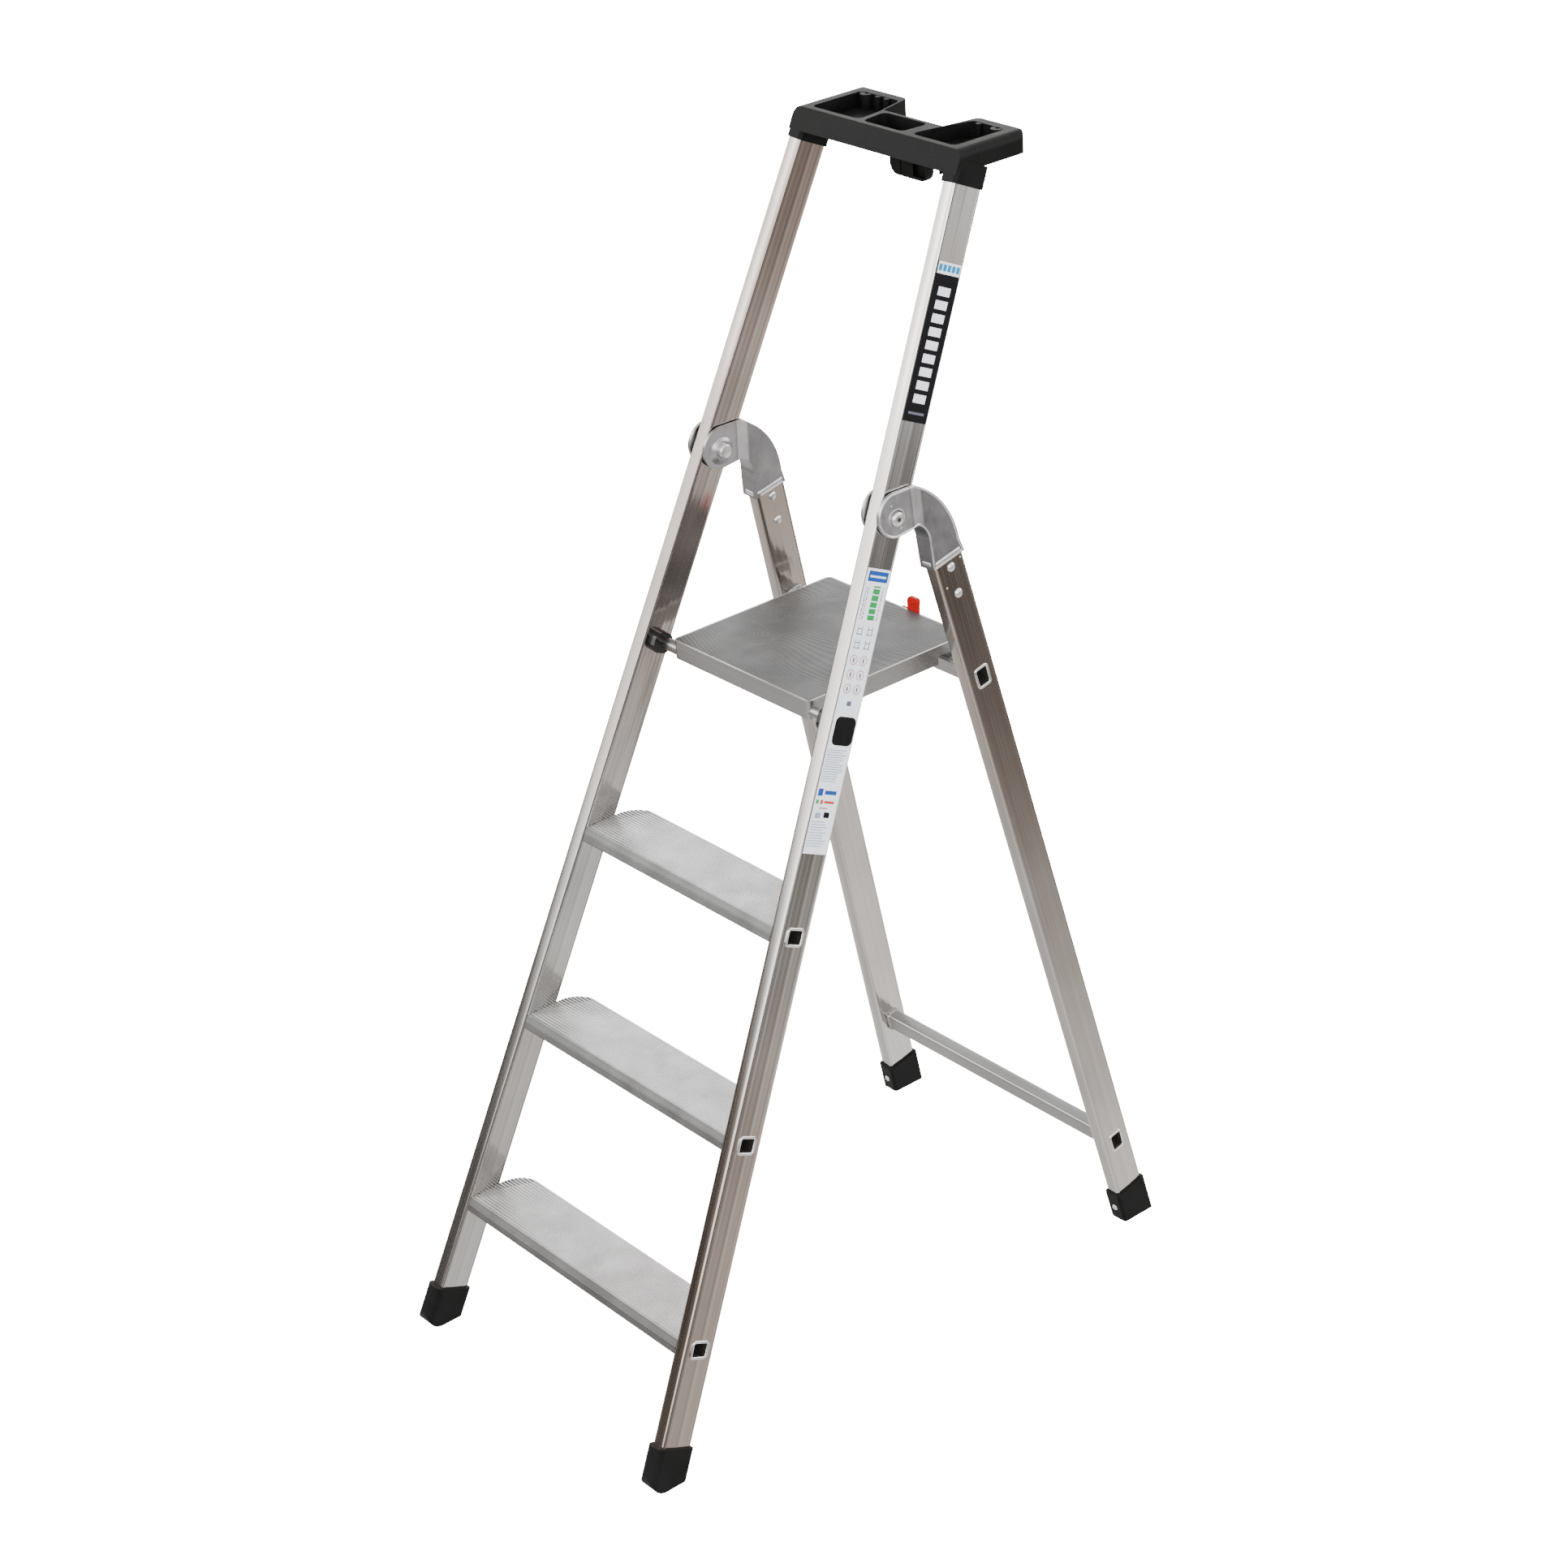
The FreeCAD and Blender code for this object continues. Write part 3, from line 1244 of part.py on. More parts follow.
def label(node, low, high, across_low, across_high):
    frame = front_frame()
    plate = box(
        node + "_plate", local(frame, SAFE_GAP, across_low, low),
        "label_thickness", "%.3f" % (across_high - across_low), "%.3f" % (high - low))
    return plate


def labels():
    name_node(label("upper_label", 1374, 1567, 5, 43), "upper_label")
    plate = label("lower_label_blank", 838, 1194, 4.5, 43)
    window = rounded_bar(
        "lower_label_window", "plug_width + 1", "plug_height + 1", "7.5", "4", role="YZ_Plane")
    window.Placement = local(front_frame(), -1, size("plug_across"), size("plug_along"))
    name_node(cut("lower_label", plate, window), "lower_label")


def check_and_export():
    os.makedirs("parts", exist_ok=True)
    doc.recompute()
    for obj in doc.Objects:
        assert "Invalid" not in obj.State and "Error" not in obj.State, obj.Label + " failed"
    for obj in NODES:
        assert not obj.Shape.isNull() and obj.Shape.isValid(), obj.Label + " has a bad shape"
        obj.Shape.exportStep("parts/%s.step" % obj.Label)
        print(obj.Label, len(obj.Shape.Solids), round(obj.Shape.Volume))


front_stile()
rear_stile()
treads()
crossbars()
hinge_bracket()
bracket_rivets()
hinge_fasteners()
hinge_washers()
platform()
pivot_bushes()
pivot_plugs()
release_latch()
top_tray()
feet()
labels()
check_and_export()
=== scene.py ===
import math
import random

import bmesh
import bpy
from mathutils import Matrix, Vector


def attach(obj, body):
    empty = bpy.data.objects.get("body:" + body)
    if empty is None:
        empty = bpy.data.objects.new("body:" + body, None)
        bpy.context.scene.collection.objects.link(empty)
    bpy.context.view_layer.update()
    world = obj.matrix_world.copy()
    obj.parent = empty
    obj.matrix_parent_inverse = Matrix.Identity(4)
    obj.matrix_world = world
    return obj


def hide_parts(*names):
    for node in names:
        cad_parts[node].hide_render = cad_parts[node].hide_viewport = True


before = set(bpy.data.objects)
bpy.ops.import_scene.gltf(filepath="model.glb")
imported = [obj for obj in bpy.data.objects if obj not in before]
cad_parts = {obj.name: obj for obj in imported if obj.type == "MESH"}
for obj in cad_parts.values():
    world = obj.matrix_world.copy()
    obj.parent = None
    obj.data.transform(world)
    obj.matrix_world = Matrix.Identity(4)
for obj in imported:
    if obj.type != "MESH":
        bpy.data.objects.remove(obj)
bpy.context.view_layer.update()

# ---------------------------------------- sizes shared with the CAD, in metres and radians
MM = 0.001
FRONT_Y = -445.3 * MM
FRONT_HALF = 254.2 * MM
FRONT_LEAN = math.radians(24.5)
FRONT_SPLAY = math.radians(3.93)
REAR_Y = 397.2 * MM
REAR_HALF = 248.0 * MM
REAR_LEAN = math.radians(-12.75)
REAR_SPLAY = math.radians(3.7)
STILE_DEPTH = 47.0 * MM
STILE_WIDTH = 21.0 * MM
HINGE = Vector((0, 100.784 * MM, 1130.5 * MM))
HINGE_ACROSS = 27.0 * MM
TREAD_TOPS = [182.0 * MM, 425.0 * MM, 668.0 * MM]
DECK_TOP = 911.0 * MM
DECK_FRONT = -13.9 * MM
DECK_DEPTH = 265.0 * MM
DECK_HALF = 133.5 * MM
TREAD_DEPTH = 86.5 * MM
TREAD_SETBACK = 2.6 * MM
BRACKET_REACH = 97.0 * MM
BARS = {"lower": 130.5 * MM, "upper": 881.0 * MM}
# Depth and height of the tubes through the stiles, and of the holes that take them.
TREAD_TUBE, TREAD_HOLE = (25.0 * MM, 21.0 * MM), (25.2 * MM, 22.0 * MM)
BAR_TUBE, BAR_HOLE = (20.0 * MM, 26.0 * MM), (20.2 * MM, 27.0 * MM)
TUBE_CORNER = 4.0 * MM
# Half the width at the floor, lean and splay of each frame's stiles.
FRONT_SIDE = (FRONT_HALF, FRONT_LEAN, FRONT_SPLAY)
REAR_SIDE = (REAR_HALF, REAR_LEAN, REAR_SPLAY)

# Side 1 is built as it stands; side -1 is its mirror image.
SIDES = ((1, "right"), (-1, "left"))
OUTWARD = (1, 0, 0)
UPWARD = (0, 0, 1)


# ---------------------------------------- frames

def sided_frame(outward, back, up, origin, side):
    """A frame from the right side's axes; side -1 mirrors it to the left side."""
    for axis in (outward, back, up, origin):
        axis.x *= side
    outward *= side
    return Matrix((
        (outward.x, back.x, up.x, origin.x),
        (outward.y, back.y, up.y, origin.y),
        (outward.z, back.z, up.z, origin.z),
        (0, 0, 0, 1),
    ))


def stile_frame(half_width, foot_y, lean, splay, side):
    """A stile's own frame at the floor: X along its outward side, Y to the rear, Z up the stile."""
    outward = Vector((math.cos(splay), 0, math.sin(splay)))
    up = Vector((-math.sin(splay) * math.cos(lean), math.sin(lean), math.cos(splay) * math.cos(lean)))
    return sided_frame(outward, up.cross(outward), up, Vector((half_width, foot_y, 0)), side)


def front_frame(side):
    return stile_frame(FRONT_HALF, FRONT_Y, FRONT_LEAN, FRONT_SPLAY, side)


def rear_frame(side):
    return stile_frame(REAR_HALF, REAR_Y, REAR_LEAN, REAR_SPLAY, side)


def pin_along():
    height = HINGE.z + HINGE_ACROSS * math.cos(FRONT_SPLAY) * math.sin(FRONT_LEAN)
    return height / (math.cos(FRONT_SPLAY) * math.cos(FRONT_LEAN))


def hinge_pin():
    """Where the hinge axis leaves the right front stile."""
    return front_frame(1) @ Vector((0, HINGE_ACROSS, pin_along()))


def bracket_frame(side):
    """Square to the rear stile's side, with its origin on the hinge axis at the front stile's face."""
    outward = Vector((math.cos(REAR_SPLAY), 0, math.sin(REAR_SPLAY)))
    up = Vector((-math.sin(REAR_SPLAY), 0, math.cos(REAR_SPLAY)))
    return sided_frame(outward, Vector((0, 1, 0)), up, hinge_pin(), side)


# ---------------------------------------- mesh helpers

def new_object(name, verts, faces, material, body, slot, matrix=None, side=1, smooth=35):
    """One piece from vertices in the frame given; side -1 mirrors it across that frame's YZ plane."""
    if side < 0:
        verts = [(-x, y, z) for x, y, z in verts]
        faces = [tuple(reversed(face)) for face in faces]
    mesh = bpy.data.meshes.new(name)
    mesh.from_pydata([tuple(v) for v in verts], [], faces)
    mesh.update()
    obj = bpy.data.objects.new(name, mesh)
    bpy.context.scene.collection.objects.link(obj)
    if matrix is not None:
        obj.matrix_world = matrix
    mesh.materials.append(material)
    tidy_normals(mesh)
    if smooth:
        smooth_by_angle(mesh, smooth)
    bpy.context.view_layer.update()
    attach(obj, body)
    return obj


def tidy_normals(mesh):
    work = bmesh.new()
    work.from_mesh(mesh)
    bmesh.ops.recalc_face_normals(work, faces=work.faces)
    work.to_mesh(mesh)
    work.free()


def smooth_by_angle(mesh, degrees):
    mesh.shade_smooth()
    work = bmesh.new()
    work.from_mesh(mesh)
    limit = math.radians(degrees)
    for edge in work.edges:
        sharp = len(edge.link_faces) == 2 and edge.calc_face_angle(0) > limit
        edge.smooth = not sharp
    work.to_mesh(mesh)
    work.free()


def loft(rings, caps=(True, True)):
    """Vertices and faces that join equal rings of points in order."""
    count = len(rings[0])
    verts = [point for ring in rings for point in ring]
    faces = []
    for level in range(len(rings) - 1):
        for i in range(count):
            j = (i + 1) % count
            a, b = level * count, (level + 1) * count
            faces.append((a + i, a + j, b + j, b + i))
    if caps[0]:
        faces.append(tuple(reversed(range(count))))
    if caps[1]:
        last = (len(rings) - 1) * count
        faces.append(tuple(range(last, last + count)))
    return verts, faces


def merge(*parts):
    """Several pieces, each as vertices and faces, as one."""
    verts, faces = [], []
    for part_verts, part_faces in parts:
        base = len(verts)
        verts += list(part_verts)
        faces += [tuple(base + i for i in face) for face in part_faces]
    return verts, faces


def rounded_rectangle(width, height, radius, steps=6):
    """Points (a, b) round a centred rounded rectangle."""
    points = []
    for sx, sy, start in ((1, 1, 0), (-1, 1, 90), (-1, -1, 180), (1, -1, 270)):
        cx, cy = sx * (width / 2 - radius), sy * (height / 2 - radius)
        points += arc(cx, cy, radius, start, start + 90, steps)
    return points


def arc(cx, cy, radius, start, end, steps):
    """Points on a circle from one angle to another, in degrees."""
    points = []
    for i in range(steps + 1):
        angle = math.radians(start + (end - start) * i / steps)
        points.append((cx + radius * math.cos(angle), cy + radius * math.sin(angle)))
    return points


def lathe(profile, centre, normal, steps=40):
    """A turned shape from (radius, height) pairs in mm about an axis."""
    normal = Vector(normal).normalized()
    side = normal.orthogonal().normalized()
    other = normal.cross(side)
    rings = []
    for radius, height in profile:
        ring = []
        for k in range(steps):
            angle = 2 * math.pi * k / steps
            spoke = side * math.cos(angle) + other * math.sin(angle)
            ring.append(Vector(centre) + normal * (height * MM) + spoke * (radius * MM))
        rings.append(ring)
    return loft(rings)


def dome(radius, height, centre):
    """A low round-headed cap on an outward face; radius and height are in mm."""
    ball = (radius * radius + height * height) / (2 * height)
    limit = math.asin(min(1.0, radius / ball))
    levels = []
    for i in range(4):
        angle = limit * (1 - i / 4)
        levels.append((ball * math.sin(angle), ball * math.cos(angle) - (ball - height)))
    return lathe(levels, centre, OUTWARD, 16)


def mirrored(piece):
    """A piece's mirror image across the ladder's middle plane."""
    verts, faces = piece
    return [Vector((-v.x, v.y, v.z)) for v in verts], [tuple(reversed(face)) for face in faces]


def cut_with(obj, cutters):
    """Takes closed cutter meshes, given in the object's own frame, out of the object."""
    for verts, faces in cutters:
        mesh = bpy.data.meshes.new("cutter")
        mesh.from_pydata([tuple(v) for v in verts], [], faces)
        tidy_normals(mesh)
        tool = bpy.data.objects.new("cutter", mesh)
        bpy.context.scene.collection.objects.link(tool)
        tool.matrix_world = obj.matrix_world
        bpy.context.view_layer.update()
        modifier = obj.modifiers.new("cut", "BOOLEAN")
        modifier.operation = "DIFFERENCE"
        modifier.solver = "EXACT"
        modifier.object = tool
        result = bpy.data.meshes.new_from_object(obj.evaluated_get(bpy.context.evaluated_depsgraph_get()))
        obj.modifiers.clear()
        old = obj.data
        obj.data = result
        bpy.data.meshes.remove(old)
        bpy.data.objects.remove(tool)
        bpy.data.meshes.remove(mesh)
    smooth_by_angle(obj.data, 35)


# ---------------------------------------- materials

def material(name):
    """A new material with its nodes, links and principled shader."""
    mat = bpy.data.materials.new(name)
    mat.use_nodes = True
    nodes = mat.node_tree.nodes
    shader = next(node for node in nodes if node.type == "BSDF_PRINCIPLED")
    return mat, nodes, mat.node_tree.links, shader


def coordinates(nodes, links, scale, rotation=(0, 0, 0)):
    source = nodes.new("ShaderNodeTexCoord")
    mapping = nodes.new("ShaderNodeMapping")
    mapping.inputs["Scale"].default_value = scale
    mapping.inputs["Rotation"].default_value = rotation
    links.new(source.outputs["Object"], mapping.inputs["Vector"])
    return mapping.outputs["Vector"]


def noise(nodes, links, vector, scale, detail, rough):
    node = nodes.new("ShaderNodeTexNoise")
    node.inputs["Scale"].default_value = scale
    node.inputs["Detail"].default_value = detail
    node.inputs["Roughness"].default_value = rough
    links.new(vector, node.inputs["Vector"])
    return node.outputs["Fac"]


def ramp(nodes, links, factor, stops):
    node = nodes.new("ShaderNodeValToRGB")
    elements = node.color_ramp.elements
    while len(elements) < len(stops):
        elements.new(0.5)
    for element, (position, color) in zip(elements, stops):
        element.position = position
        element.color = (*color, 1) if len(color) == 3 else color
    links.new(factor, node.inputs["Fac"])
    return node.outputs["Color"]


def grey(value):
    return (value, value, value)


def multiply(nodes, links, first, second):
    node = nodes.new("ShaderNodeMix")
    node.data_type = "RGBA"
    node.blend_type = "MULTIPLY"
    node.inputs["Factor"].default_value = 1.0
    links.new(first, node.inputs[6])
    links.new(second, node.inputs[7])
    return node.outputs[2]


def bump(nodes, links, height, strength, distance, shader, chain=None):
    node = nodes.new("ShaderNodeBump")
    node.inputs["Strength"].default_value = strength
    node.inputs["Distance"].default_value = distance
    links.new(height, node.inputs["Height"])
    if chain is not None:
        links.new(chain, node.inputs["Normal"])
    links.new(node.outputs["Normal"], shader.inputs["Normal"])
    return node.outputs["Normal"]


def zoned(nodes, links, direction, low, high, stops, kind="Object"):
    """A tone that varies with how far a point, or its surface normal, lies along a direction."""
    source = nodes.new("ShaderNodeTexCoord")
    along = nodes.new("ShaderNodeVectorMath")
    along.operation = "DOT_PRODUCT"
    along.inputs[1].default_value = direction
    links.new(source.outputs[kind], along.inputs[0])
    span = nodes.new("ShaderNodeMapRange")
    span.inputs["From Min"].default_value = low
    span.inputs["From Max"].default_value = high
    links.new(along.outputs["Value"], span.inputs["Value"])
    return ramp(nodes, links, span.outputs["Result"],
                [(place, tone if isinstance(tone, tuple) else grey(tone)) for place, tone in stops])


def metal(name, dark, light, rough, streak_scale, streak, blotch=6.0, grain=0.03, scratch=0.0,
          metallic=1.0, tint=None, zones=None):
    """Drawn or cast aluminium: streaks along one direction, soft blotches, fine grain, a few scratches."""
    mat, nodes, links, shader = material(name)
    shader.inputs["Metallic"].default_value = metallic
    along = coordinates(nodes, links, streak_scale)
    plain = coordinates(nodes, links, (1, 1, 1))
    streaks = noise(nodes, links, along, 1.0, 6.0, 0.6)
    blotches = noise(nodes, links, plain, blotch, 3.0, 0.5)
    base = ramp(nodes, links, blotches, [(0.3, dark), (0.7, light)])
    lines = ramp(nodes, links, streaks, [(0.25, grey(1 - streak)), (0.75, grey(1.0))])
    color = multiply(nodes, links, base, lines)
    if tint:
        zone = noise(nodes, links, plain, 2.2, 2.0, 0.4)
        wash = ramp(nodes, links, zone, [(0.38, grey(1.0)), (0.72, tint)])
        color = multiply(nodes, links, color, wash)
    if zones:
        color = multiply(nodes, links, color, zoned(nodes, links, *zones))
    links.new(color, shader.inputs["Base Color"])
    rough_out = ramp(nodes, links, streaks, [(0.2, grey(rough[0])), (0.8, grey(rough[1]))])
    links.new(rough_out, shader.inputs["Roughness"])
    fine = noise(nodes, links, plain, 900.0, 2.0, 0.5)
    chain = bump(nodes, links, streaks, 0.05, 0.0002, shader)
    chain = bump(nodes, links, fine, grain, 0.0002, shader, chain)
    if scratch:
        tilted = coordinates(nodes, links, (30, 260, 45), (0.5, 0.2, 0.3))
        marks = noise(nodes, links, tilted, 1.0, 2.0, 0.5)
        edges = ramp(nodes, links, marks, [(0.60, grey(1.0)), (0.63, grey(0.0)), (0.66, grey(1.0))])
        bump(nodes, links, edges, scratch, 0.0003, shader, chain)
    return mat


def plastic(name, dark, light, rough, grain_scale, grain, spec=0.5, coat=0.0):
    """Moulded plastic or rubber with a fine grain."""
    mat, nodes, links, shader = material(name)
    plain = coordinates(nodes, links, (1, 1, 1))
    cloud = noise(nodes, links, plain, 18.0, 4.0, 0.6)
    color = ramp(nodes, links, cloud, [(0.3, dark), (0.7, light)])
    links.new(color, shader.inputs["Base Color"])
    rough_out = ramp(nodes, links, cloud, [(0.3, grey(rough[0])), (0.7, grey(rough[1]))])
    links.new(rough_out, shader.inputs["Roughness"])
    shader.inputs["Specular IOR Level"].default_value = spec
    shader.inputs["Coat Weight"].default_value = coat
    fine = noise(nodes, links, plain, grain_scale, 3.0, 0.6)
    bump(nodes, links, fine, grain, 0.0003, shader)
    return mat


def film(name, color, wear, painted_glow=0.0):
    """A printed film: nearly even colour with faint mottling, and an optional glow in its own colour, which
    is painted light.
    """
    mat, nodes, links, shader = material(name)
    plain = coordinates(nodes, links, (1, 1, 1))
    cloud = noise(nodes, links, plain, 60.0, 5.0, 0.6)
    worn = tuple(c * wear for c in color)
    links.new(ramp(nodes, links, cloud, [(0.3, worn), (0.6, color)]), shader.inputs["Base Color"])
    rough_out = ramp(nodes, links, cloud, [(0.3, grey(0.50)), (0.7, grey(0.38))])
    shader.inputs["Specular IOR Level"].default_value = 0.12
    shader.inputs["Emission Color"].default_value = (*color, 1)
    shader.inputs["Emission Strength"].default_value = painted_glow
    links.new(rough_out, shader.inputs["Roughness"])
    fine = noise(nodes, links, plain, 500.0, 2.0, 0.5)
    bump(nodes, links, fine, 0.04, 0.0002, shader)
    return mat


# Along this direction the bracket passes from its disc over the sloping band to its arm. The tones are
# painted light and shade: a painted highlight on the sloping band, painted shadow lines along both its
# edges, and painted shade on the lower arm.
CHEEK_PAINTED_SHADING = ((0, 1, 0.026), 0.14, 0.20, [
    (0.20, 0.94), (0.262, 0.66), (0.29, 1.22), (0.56, 1.08), (0.61, 0.56), (0.68, 0.58), (1.0, 0.64)])
# Painted shade by surface normal: upward faces keep their full tone, while faces turned away from straight
# up, such as a tread's slanted front, are painted much darker.
TREAD_PAINTED_SHADE = (UPWARD, 0.0, 1.0, [(0.30, 0.26), (0.60, 0.26), (0.80, 0.95), (1.0, 1.0)], "Normal")
# Up the climbing stiles: painted reflection, darker and warmer near the floor and fading out towards the
# platform.
FOOT_PAINTED_REFLECTION = (UPWARD, 0.0, 1.6, [(0.0, (0.62, 0.53, 0.47)), (0.28, (0.70, 0.61, 0.56)),
                                 (0.50, (0.92, 0.90, 0.88)), (0.62, (1.02, 1.01, 1.0))])
# Up the rear stiles: painted reflection, a little lighter at the floor and darker and browner towards the
# hinge.
TOP_PAINTED_REFLECTION = (UPWARD, 0.0, 1.1, [(0.0, grey(1.12)), (0.35, (0.98, 0.96, 0.95)),
                                (0.65, (0.74, 0.68, 0.64)), (1.0, (0.72, 0.65, 0.61))])
# Up the far climbing stile: brown above the hinge.
HIGH_WARM_TONE = (UPWARD, 0.0, 1.6, [(0.0, (1.04, 1.03, 1.02)), (0.45, (0.98, 0.97, 0.96)),
                                 (0.70, (0.96, 0.85, 0.80)), (1.0, (0.98, 0.86, 0.81))])
ALONG_Z = (420, 420, 2.2)
ALONG_X = (3, 340, 340)
M = {
    # Near climbing stile, with painted reflection that is darker and warmer towards the floor.
    "stile": metal("drawn_aluminium", (0.66, 0.655, 0.65), (0.78, 0.775, 0.77), (0.09, 0.19), ALONG_Z,
                   streak=0.24, tint=(0.94, 0.90, 0.87), zones=FOOT_PAINTED_REFLECTION),
    # Rear stiles: a darker copy of the climbing stiles' drawn aluminium, painted shade, carrying the painted
    # reflection up their length.
    "rear": metal("drawn_aluminium_rear_shaded", (0.58, 0.565, 0.55), (0.70, 0.685, 0.67), (0.10, 0.20), ALONG_Z,
                  streak=0.20, tint=(0.90, 0.85, 0.81), zones=TOP_PAINTED_REFLECTION),
    # Tread aluminium, with painted shade on the faces that don't look up.
    "tread": metal("tread_aluminium", (0.56, 0.555, 0.555), grey(0.76), (0.30, 0.46), ALONG_X,
                   blotch=24.0, streak=0.16, tint=(0.94, 0.90, 0.89), zones=TREAD_PAINTED_SHADE),
    "deck": metal("deck_aluminium", grey(0.12), grey(0.19), (0.46, 0.60), ALONG_X,
                  blotch=14.0, streak=0.12),
    # The platform's edges: a lighter copy of the deck's aluminium, painted highlight on the rounded edges.
    "deck_rim_lit": metal("deck_edge_aluminium", grey(0.42), grey(0.54), (0.26, 0.40), ALONG_X,
                       streak=0.16),
    "bar": metal("crossbar_aluminium", (0.34, 0.335, 0.33), (0.46, 0.455, 0.45), (0.22, 0.36), ALONG_X,
                 streak=0.2),
    # Cast bracket aluminium, with painted highlight and painted shade across its outer side.
    "cast": metal("cast_aluminium", (0.46, 0.46, 0.475), (0.60, 0.60, 0.61), (0.26, 0.40), (60, 60, 60),
                  blotch=32.0, streak=0.16, grain=0.30, scratch=0.30, zones=CHEEK_PAINTED_SHADING),
    # A lighter copy of the cast aluminium for the raised bead, the sill and the pips: painted highlight.
    "cast_highlight": metal("cast_edge_highlight", (0.74, 0.74, 0.75), grey(0.86), (0.22, 0.32), (90, 90, 90),
                         blotch=40.0, streak=0.10, grain=0.15),
    "steel": metal("plated_steel", grey(0.78), grey(0.92), (0.26, 0.36), (200, 200, 200),
                   blotch=90.0, streak=0.12, grain=0.08),
    "rim": metal("swaged_aluminium", (0.78, 0.775, 0.77), (0.92, 0.915, 0.91), (0.16, 0.30), (160, 160, 160),
                 blotch=60.0, streak=0.15, grain=0.12),
    # The far climbing stile: a much darker copy of the same drawn aluminium, painted shade.
    "far_stile_shaded": metal("drawn_aluminium_far_shaded", (0.42, 0.415, 0.41), (0.54, 0.53, 0.52), (0.09, 0.19), ALONG_Z,
                       streak=0.18, tint=(0.90, 0.86, 0.83), zones=HIGH_WARM_TONE),
    "unlit": metal("tube_inside", (0.015, 0.014, 0.012), (0.03, 0.028, 0.025), (0.5, 0.7), (90, 90, 90),
                   blotch=40.0, streak=0.2, metallic=0.0),
    "disc": plastic("disc_nylon", grey(0.34), grey(0.42), (0.4, 0.5), 600.0, 0.2, 0.3),
    "black": plastic("black_plastic", grey(0.004), grey(0.008), (0.40, 0.52), 700.0, 0.30, 0.09),
    "gloss_black": plastic("gloss_black_plastic", grey(0.005), grey(0.010), (0.12, 0.2), 300.0, 0.05,
                           spec=0.35, coat=0.15),
    "foot": plastic("foot_rubber", grey(0.004), grey(0.009), (0.42, 0.56), 600.0, 0.35, 0.09),
    "washer": plastic("washer_nylon", grey(0.16), grey(0.22), (0.4, 0.5), 600.0, 0.2),
    "red": plastic("red_plastic", (0.42, 0.004, 0.003), (0.54, 0.007, 0.005), (0.34, 0.46), 500.0, 0.10,
                   spec=0.15),
    # The white film glows a little in its own colour: painted light.
    "white_film": film("white_film", (0.90, 0.92, 0.97), 0.96, 0.22),
    "dark_film": film("dark_film", (0.006, 0.006, 0.008), 0.8),
    "blue_film": film("blue_film", (0.02, 0.085, 0.36), 0.9),
    "sky_film": film("sky_film", (0.01, 0.27, 0.60), 0.92),
    "pale_blue_film": film("pale_blue_film", (0.36, 0.42, 0.60), 0.93),
    "green_film": film("green_film", (0.02, 0.33, 0.09), 0.9),
    "grey_film": film("grey_film", (0.13, 0.14, 0.18), 0.92),
    "red_film": film("red_film", (0.60, 0.05, 0.05), 0.9),
    "pink_film": film("pink_film", (0.46, 0.20, 0.26), 0.94),
}


# ---------------------------------------- stiles

# (start, end, depth in mm): bands across the flat of a stile's broad side, as parts of that flat
STILE_BANDS = [(0.0, 0.10, 0.0), (0.115, 0.46, 0.05), (0.475, 0.56, 0.0), (0.575, 0.87, 0.05),
               (0.885, 1.0, 0.0)]


def stile_profile():
    """Rounded rectangle with slightly crowned broad sides, whose shallow bands stand between flat ones."""
    r = 4.2 * MM
    w, d = STILE_WIDTH, STILE_DEPTH
    flat = d - 2 * r
    broad = []
    for start, end, sunk in STILE_BANDS:
        for t in (0.0, 0.25, 0.5, 0.75, 1.0):
            place = start + (end - start) * t
            sag = sunk + 0.36 * (2 * place - 1) ** 2
            broad.append((sag * MM, r + flat * place))
    points = arc(-r, r, r, -90, 0, 8)
    points += [(-sag, y) for sag, y in broad]
    points += arc(-r, d - r, r, 0, 90, 8)
    points += arc(-w + r, d - r, r, 90, 180, 8)
    points += [(-w + sag, y) for sag, y in reversed(broad)]
    points += arc(-w + r, r, r, 180, 270, 8)
    return points


def box_through(stile_matrix, centre, lean, section):
    """A rounded cutter along the row's X, given in a stile's own frame."""
    inverse = stile_matrix.inverted()
    back = Vector((0, math.cos(lean), -math.sin(lean)))
    up = Vector((0, math.sin(lean), math.cos(lean)))
    rings = []
    reach = 320 * MM
    for x in (-reach, reach):
        middle = Vector((x, *centre))
        rings.append([inverse @ (middle + back * a + up * b)
                      for a, b in rounded_rectangle(*section, TUBE_CORNER + 0.2 * MM)])
    return loft(rings)


def tread_edge_y(index):
    """Y of a tread's front edge."""
    return FRONT_Y + TREAD_TOPS[index] * math.tan(FRONT_LEAN) / math.cos(FRONT_SPLAY) + TREAD_SETBACK


def tread_tube_centre(index):
    """Y and Z of the middle of a tread's through tube."""
    across = STILE_DEPTH / 2 - TREAD_SETBACK * math.cos(FRONT_LEAN)
    down = 5.0 * MM
    y = tread_edge_y(index) + across * math.cos(FRONT_LEAN) - down * math.sin(FRONT_LEAN)
    z = TREAD_TOPS[index] - across * math.sin(FRONT_LEAN) - down * math.cos(FRONT_LEAN)
    return y, z


def bar_centre(height):
    """Y and Z of the middle of a crossbar."""
    y = REAR_Y + height * math.tan(REAR_LEAN) + STILE_DEPTH / 2 / math.cos(REAR_LEAN)
    return y, height


def stile_mesh(low, high):
    return loft([[(x, y, z) for x, y in stile_profile()] for z in (low, high)])


